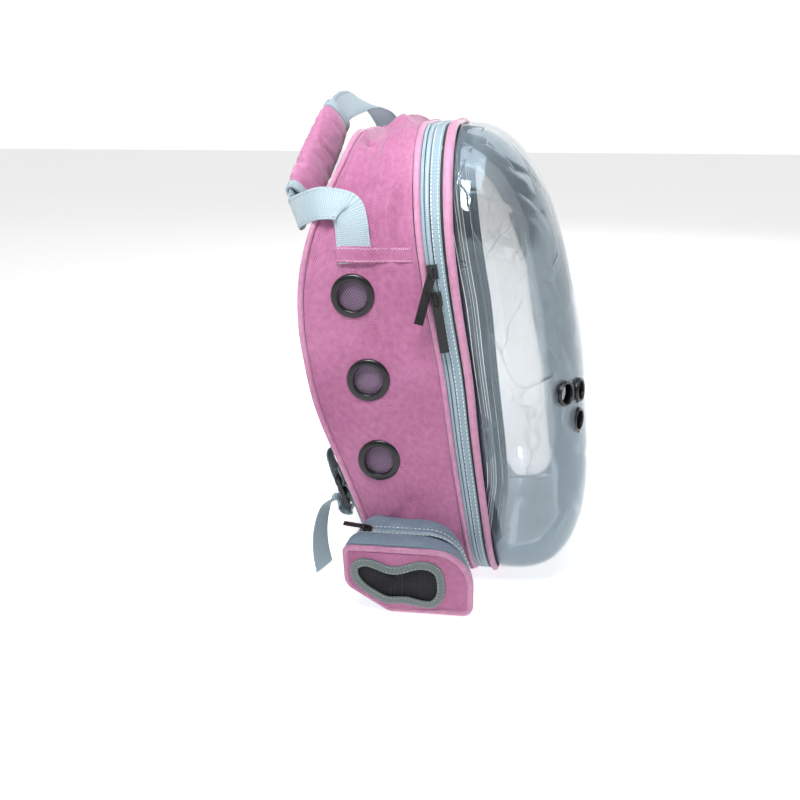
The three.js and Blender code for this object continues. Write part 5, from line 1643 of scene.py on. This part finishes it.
class CarryHandle(Assembly):
    """The carry handle: webbing from side to side, a padded grip, and patches over its ends."""

    sizes = HandleSizes()

    def rows(self) -> Array:
        """The path's rows: a place in mm and a width direction each."""
        s, shape = self.sizes, self.shape
        rows = []
        for side, proud, behind, height, width in s.on_cloth:
            z = height * shape.height
            across = shape.across_at(behind * shape.depth, z)
            along = shape.along_at(z, Side(side))
            rows.append((*shape.on_fabric(along, across, proud), *width))
        free = []
        for across, behind, height, width in s.free:
            z = height * shape.height
            y = shape.rim_y(z) + behind * shape.depth
            free.append((across * shape.width / 2, y, z, *width))
        return np.array(rows[:4] + free + rows[4:])

    def webbing(self, rows: Array) -> None:
        """Sweeps the flat webbing along its path, its edges lifting and dropping a little."""
        s, count = self.sizes, self.sizes.stations
        path = smooth_path(rows, count)
        place = path[:, :3]
        profile = round_profile(28, s.width / 2, s.thickness / 2, 7)
        cup = 0.5 * np.sin(np.linspace(0, 9 * math.pi, count))[:, None] / (s.width / 2) ** 2
        section = np.stack(np.broadcast_arrays(profile[:, 0], profile[:, 1] + cup * profile[:, 0] ** 2), -1)
        points = swept(place, path[:, 3:], section)
        lengths, wrap = curve_lengths(place), OPEN
        self.lay("handle_strap", "handle_webbing", "webbing", points, lengths, profile_lengths(profile), wrap)
        run = unit(np.gradient(place, axis=0))
        level = unit(path[:, 3:] - run * np.sum(path[:, 3:] * run, -1, keepdims=True))
        out = np.cross(run, level)
        edge_line = s.width / 2 - s.stitch_inset
        for name, rise in (("over", 1), ("under", -1)):
            for edge, shift in (("a", edge_line), ("b", -edge_line)):
                line = place + level * shift + out * (cup * shift**2 + rise * (s.thickness / 2 + 0.05))
                stitch = Stitch(3.0, 1.2, 0.36)
                self.sew(f"handle_stitching_{name}_{edge}", line, out * rise, stitch, "grey_thread")

    def tube(
        self, name: str, node: str, finish: str, rows: Array, span: tuple, fat: float, crease: float
    ) -> Piece:
        """Makes a hollow flattened tube round the webbing, from one distance along the grip to another.

        Args:
            name: the piece's name.
            node: the CAD node that it stands for.
            finish: its finish.
            rows: the handle's path rows.
            span: the distances from the grip's start to the piece's ends, in mm.
            fat: how far the middle swells, in mm.
            crease: how deep its creases are, in mm.

        Returns:
            The piece.
        """
        s = self.sizes
        start, end = rows[s.grip_row], rows[s.grip_row + 1]
        run = unit(end[:3] - start[:3])
        level = unit(start[3:] - run * float(start[3:] @ run))
        out = np.cross(run, level)
        padded = fat > 1
        d = np.linspace(*span, 70 if padded else 14)
        share = (d - span[0]) / (span[1] - span[0])
        to_end = np.minimum(share, 1 - share)
        turn = (np.arange(s.turns) * TAU / s.turns)[:, None]
        girth = turn * 13
        relief = crease * 0.5 * ripple(d[None], girth, 24, 61) + crease * 0.35 * ripple(d[None], girth, 9, 62)
        for at, lean, deep in s.grip_creases:
            line = span[0] + at * (span[1] - span[0]) + lean * np.sin(turn)
            relief = relief - crease * deep * np.exp(-(((d[None] - line) / 2.4) ** 2))
        ends = np.minimum(1, to_end * 14) if padded else 1 - 0.4 * (2 * share - 1) ** 6
        swell = fat * np.sin(math.pi * share) ** 0.7
        wall = s.grip_wall * (0.55 + 0.45 * ends) + swell + relief * np.minimum(1, 8 * to_end)

        def ring(grow: Array) -> Array:
            c, sn = np.cos(turn), np.sin(turn)
            wide = (s.width / 2 + 1 + grow) * np.sign(c) * np.abs(c) ** 0.86
            high = (s.grip_half + grow) * np.sign(sn) * np.abs(sn) ** 0.86
            return start[:3] + d[None, :, None] * run + wide[..., None] * level + high[..., None] * out

        points = np.concatenate([ring(wall), ring(0 * wall)[:, ::-1]], 1)
        u, v = np.arange(s.turns + 1) * 1.25, there_and_back(d)
        return self.lay(name, node, finish, points, u, v)

    def patch(self, side: Side) -> None:
        """Lays a sewn patch of cloth over one end of the webbing, tacked along its upper and lower edges."""
        s, shape = self.sizes, self.shape
        z = np.linspace(s.patch_low, s.patch_low + s.patch_height, 16)[:, None]
        along = np.array([shape.along_at(float(h), side) for h in z[:, 0]])[:, None]
        front = shape.fabric_front(z)
        t = np.linspace(0, 1, 80)[None]
        behind = front + s.patch_front + (s.behind + 16 - front - s.patch_front) * t
        across = shape.across_at(behind, z)
        over = smooth_step((s.width / 2 + 3.5 - np.abs(behind - s.behind)) / 3)
        rim = np.minimum(1, np.minimum((z - z[0]) / 2.2, (z[-1] - z) / 2.2))
        proud = 1.1 + 2.3 * over + 0.35 * rim + 0.2 * ripple(z * 2, behind, 15, 71)
        points = folded_sheet(shape, along, across, proud, 1.0)
        name, node = f"handle_patch_cloth_{side.label}", f"handle_patch_{side.label}"
        self.lay(name, node, "twill", points, z[:, 0], there_and_back(behind[0]), OPEN)
        _, _, nx, nz = shape.outline(along[:, 0])
        for where, row in (("low", 2), ("high", -3)):
            line = shape.on_fabric(along[row], across[row], proud[row] + 0.1)
            zigzag = (np.arange(len(line)) % 4 < 2) * 0.9 - 0.45
            line = line + np.array([0, 0, 1.0]) * zigzag[:, None]
            away = np.broadcast_to([nx[row], 0.0, nz[row]], line.shape)
            name = f"patch_stitching_{where}_{side.label}"
            self.sew(name, line, away, Stitch(1.7, 0.35, 0.36), "pink_thread")

    def build(self) -> None:
        """Makes the whole handle."""
        s = self.sizes
        rows = self.rows()
        self.webbing(rows)
        length = float(np.linalg.norm(rows[s.grip_row + 1, :3] - rows[s.grip_row, :3]))
        span = (s.trim + 0.2, length - s.trim - 0.2)
        self.tube("grip_wrap", "grip_pad", "twill", rows, span, 1.7, 0.9)
        for where, span in (("near", (0, s.trim)), ("far", (length - s.trim, length))):
            self.tube(f"grip_binding_{where}", f"grip_trim_{where}", "webbing", rows, span, 0.1, 0.12)
        for side in Side:
            self.patch(side)


@dataclass(frozen=True)
class StrapSizes:
    """A shoulder strap, its ladder lock and its loose tail, in mm."""

    width: float = 54.0
    thickness: float = 7.0
    webbing: float = 25.0
    webbing_thickness: float = 1.6
    lock_height: float = 27.0
    lock_thickness: float = 4.5
    lock_bar: float = 4.5
    lock_across: float = 112.0
    lock_top: float = 93.0
    lock_standoff: float = 13.0
    lock_lead: float = 8.0
    foot_outward: float = 8.0
    foot_height: float = 22.0
    tail: float = 46.0
    quilt_inset: float = 6.0
    stations: int = 110
    path: tuple = (
        (-0.3, 0.865, 0.9), (-0.31, 0.8, 1), (-0.33, 0.68, 1), (-0.37, 0.55, 1), (-0.44, 0.44, 0.94),
        (-0.53, 0.35, 0.72), (-0.6, 0.3, 0.52),
    )
    tail_path: tuple = (
        (0, -0.01, -0.2, (-1, 0, 0)), (-0.06, 0.12, -0.17, (-1, 0.05, 0.1)),
        (-0.13, 0.28, 0.02, (-0.97, 0.1, 0.2)), (-0.24, 0.46, -0.1, (-0.95, 0.2, 0.2)),
        (-0.33, 0.56, -0.5, (-0.95, 0.3, 0.1)), (-0.37, 0.56, -0.95, (-0.93, 0.35, 0)),
        (-0.35, 0.5, -1.36, (-0.9, 0.4, 0)),
    )


class ShoulderStrap(Assembly):
    """One shoulder strap: a padded run down the back, webbing through a ladder lock, and a loose tail."""

    sizes = StrapSizes()

    def on_panel(self, x: float, z: float, proud: float) -> Array:
        """A place off the back pad's surface."""
        return BackPanel.on_panel(BackPanel(self.shape, self.finishes, self.side), x, z, proud)

    def pad(self) -> Array:
        """Makes the padded run and gives back its path's places.

        The section is a superellipse whose width follows the table; its face is quilted by two shallow
        sewn lines inside the edges.
        """
        s, shape, sign = self.sizes, self.shape, self.side.value
        proud = s.thickness / 2 + 2
        half = -sign * shape.width / 2
        places = np.array([self.on_panel(a * half, h * shape.height, proud) for a, h, _ in s.path])
        rows = smooth_path(np.column_stack([places, np.array(s.path)[:, 2]]), s.stations)
        line = rows[:, :3]
        profile = round_profile(64, 1.0, 1.0, 2.8)
        half = rows[:, 3:] * s.width / 2
        x = profile[:, 0] * half
        y = profile[:, 1] * s.thickness / 2 * (1 + 0.1 * np.cos(profile[:, 0] * math.pi / 2))
        groove = np.exp(-(((np.abs(x) - (half - s.quilt_inset)) / 1.5) ** 2))
        groove = groove * np.sign(profile[:, 1]) * (np.abs(profile[:, 1]) > 0.3)
        length = curve_lengths(line)
        y = y - 0.8 * groove + 0.25 * ripple(length[:, None], x, 34, 81)
        level = np.broadcast_to([float(sign), 0, 0], (s.stations, 3))
        points = swept(line, level, np.stack([x, y], -1))
        v = profile_lengths(profile * s.width / 2)
        names = self.names("strap_cushion", "strap_pad")
        self.lay(*names, "twill", points, length, v, OPEN)
        out = np.cross(unit(np.gradient(line, axis=0)), level) * sign
        out = out * np.sign(np.sum(out * [0, 1, 0], -1, keepdims=True))
        for where, edge in (("outer", 1), ("inner", -1)):
            path = line + level * edge * (half - s.quilt_inset) + out * (s.thickness / 2 - 0.45)
            (name,) = self.names(f"strap_stitching_{where}")
            self.sew(name, path, out, Stitch(), "pink_thread")
        return places

    def ribbon(self, name: str, node: str, rows: Array, count: int) -> None:
        """Sweeps webbing through rows of a place and a width direction."""
        s = self.sizes
        path = smooth_path(rows, count)
        profile = round_profile(24, s.webbing / 2, s.webbing_thickness / 2, 7)
        points = swept(path[:, :3], path[:, 3:], profile)
        u = curve_lengths(path[:, :3])
        self.lay(*self.names(name, node), "webbing", points, u, profile_lengths(profile), OPEN)

    def build(self) -> None:
        """Makes the strap, and threads its webbing through the lock as the solids do."""
        s, sign = self.sizes, self.side.value
        places = self.pad()
        top = self.on_panel(sign * s.lock_across, s.lock_top, s.lock_standoff)
        low = self.on_panel(sign * s.lock_across, s.lock_top - s.lock_height, s.lock_standoff)
        down = unit(low - top)
        out = unit(np.cross([1, 0, 0], down))
        out = -out if out[1] < 0 else out
        self.cast(*self.names("strap_lock", "ladder_lock"), ROOT, 0.7, 3)

        def at(v: float, n: float) -> Array:
            return top + down * v + out * n

        wide = np.array([sign, 0, 0])
        over = s.lock_thickness / 2 + 0.3 + s.webbing_thickness / 2
        slots = (s.lock_height - 3 * s.lock_bar) / 2
        first = s.lock_bar + slots / 2
        second = 2 * s.lock_bar + slots + slots / 2
        end = places[-1] + unit(places[-1] - places[-2]) * s.thickness * 0.3 + [0, 1, 0]
        ahead = at(-6, over)
        bridge = [end, (end + ahead) / 2 + [0, 4, 0], ahead, at(s.lock_bar / 2, over), at(first - 1.2, over)]
        bridge += [at(first - 1.2, -over - 0.1), at(s.lock_bar / 2, -over - 0.2)]
        bridge += [at(-s.lock_lead, -over - 0.2)]
        self.ribbon("strap_web_upper", "strap_bridge", np.array([(*p, *wide) for p in bridge]), 160)
        under = over + s.webbing_thickness + 0.3
        foot = self.on_panel(sign * (s.lock_across + s.foot_outward), s.foot_height, 3)
        load = [foot, (foot + at(s.lock_height + s.lock_lead, -under)) / 2, at(s.lock_height + 4, -under)]
        load += [at(first + 5, -under), at(first + 1.6, -over)]
        load += [at(first + 1.5, over * 0.9), at(first + 4, over + 0.5)]
        load += [at(second - 3, over + 0.5), at(second - 0.4, over * 0.7), at(second + 0.2, -over + 0.2)]
        load += [at(s.lock_height - s.lock_bar / 2, -over - 0.1), at(s.lock_height + 3, -over - 0.1)]
        lower = at(s.lock_height, 0)
        rows = [(*p, *wide) for p in load]
        for x, y, z, (wx, wy, wz) in s.tail_path:
            rows.append((*(lower + np.array([-sign * x, y, z]) * s.tail), -sign * wx, wy, wz))
        self.ribbon("strap_web_lower", "strap_webbing", np.array(rows), 280)


class MainZip(Assembly):
    """The main zip's two sliders and their pulls."""

    def build(self) -> None:
        """Softens the four pieces' edges and gives them their plastic."""
        for label in ("upper", "lower"):
            self.cast(f"main_zip_slider_{label}", f"zip_slider_{label}", ROOT, 0.6)
            self.cast(f"main_zip_pull_{label}", f"zip_pull_{label}", f"{label}_pull", 0.45)


@dataclass(frozen=True)
class StudioSizes:
    """The camera, the floor and the lights, in metres and watts."""

    eye: tuple = (-0.9555, -0.0787, 0.4250)
    look: tuple = (0.947, 0.133, -0.292)
    lens: float = 45.0
    sensor: float = 36.0
    floor: float = 14.0
    softboxes: tuple = (
        ("top", (-0.2, 0.0, 1.9), (0, 0, 0.1), 1.4, 13.0, 180.0, "#F7F9FF"),
        ("key", (-0.55, 0.1, 0.95), (-0.06, 0.03, 0.45), 0.4, 1.3, 60.0, "#FFFFFF"),
        ("rear", (-0.9, 1.9, 1.6), (0, 0, 0.25), 1.0, 3.0, 180.0, "#F3F6FF"),
        ("far", (1.8, -0.6, 1.3), (0, 0, 0.2), 1.3, 8.0, 180.0, "#FFFFFF"),
    )
    sky: tuple = ((0.0, 1.05), (0.12, 1.0), (0.22, 0.1), (1.0, 0.18))


class Studio:
    """A pale floor, soft light from above and the camera at the photograph's angle."""

    sizes = StudioSizes()

    def camera(self) -> None:
        """Places the camera and makes it the scene's."""
        s = self.sizes
        data = bpy.data.cameras.new("Photo_camera")
        data.lens = s.lens
        data.sensor_width = s.sensor
        camera = placed("Photo_camera", data)
        camera.location = s.eye
        camera.rotation_euler = Vector(s.look).to_track_quat("-Z", "Y").to_euler()
        bpy.context.scene.camera = camera

    def lights(self) -> None:
        """Hangs the softboxes; the room is white low down and dim above, and the dome mirrors its walls."""
        for name, place, aim, size, power, spread, colour in self.sizes.softboxes:
            data = bpy.data.lights.new(f"Softbox_{name}", "AREA")
            data.shape = "SQUARE"
            data.size = size
            data.energy = power
            data.spread = math.radians(spread)
            data.color = linear(colour)[:3]
            light = placed(f"Softbox_{name}", data)
            light.location = place
            light.rotation_euler = (Vector(aim) - Vector(place)).to_track_quat("-Z", "Y").to_euler()
        world = bpy.data.worlds.new("White_room")
        world.use_nodes = True
        nodes, links = world.node_tree.nodes, world.node_tree.links
        kinds = ("TexCoord", "SeparateXYZ", "ValToRGB")
        place, split, ramp = (nodes.new(f"ShaderNode{kind}") for kind in kinds)
        links.new(place.outputs["Generated"], split.inputs[0])
        links.new(split.outputs["Z"], ramp.inputs[0])
        set_ramp(ramp.color_ramp, [(height, (tone, tone, tone, 1)) for height, tone in self.sizes.sky])
        links.new(ramp.outputs[0], nodes["Background"].inputs["Color"])
        bpy.context.scene.world = world
        bpy.context.scene.view_settings.view_transform = "Standard"

    def floor(self) -> None:
        """Lays the paper on the ground."""
        half = self.sizes.floor / 2 / MM
        line = np.linspace(-half, half, 9)
        x, y = np.meshgrid(line, line, indexing="ij")
        faces, _ = grid_faces(9, 9, False, False)
        points = np.stack([x, y, 0 * x], -1).reshape(-1, 3)
        mesh = bpy.data.meshes.new("Floor_paper")
        mesh.from_pydata((points * MM).tolist(), [], faces.tolist())
        mesh.update()
        paper = placed("Floor_paper", mesh)
        mesh.materials.append(studio_floor().material)

    def build(self) -> None:
        """Makes the studio."""
        self.camera()
        self.lights()
        self.floor()


def main() -> None:
    """Makes the studio and every sub-assembly."""
    Studio().build()
    LOG.info("studio made")
    finishes = {name: row.build() for name, row in FINISH_ROWS.items()}
    LOG.info("finishes made")
    single = [FabricBody, SideVents, ZipBand, Dome, BackPanel]
    for kind in [*single, SidePocket, CarryHandle, ShoulderStrap, MainZip]:
        for side in Side if kind in (SidePocket, ShoulderStrap) else (Side.LEFT,):
            kind(SHAPE, finishes, side).build()
            LOG.info("%s made, %s", kind.__name__, side.label)


if __name__ == "__main__":
    main()
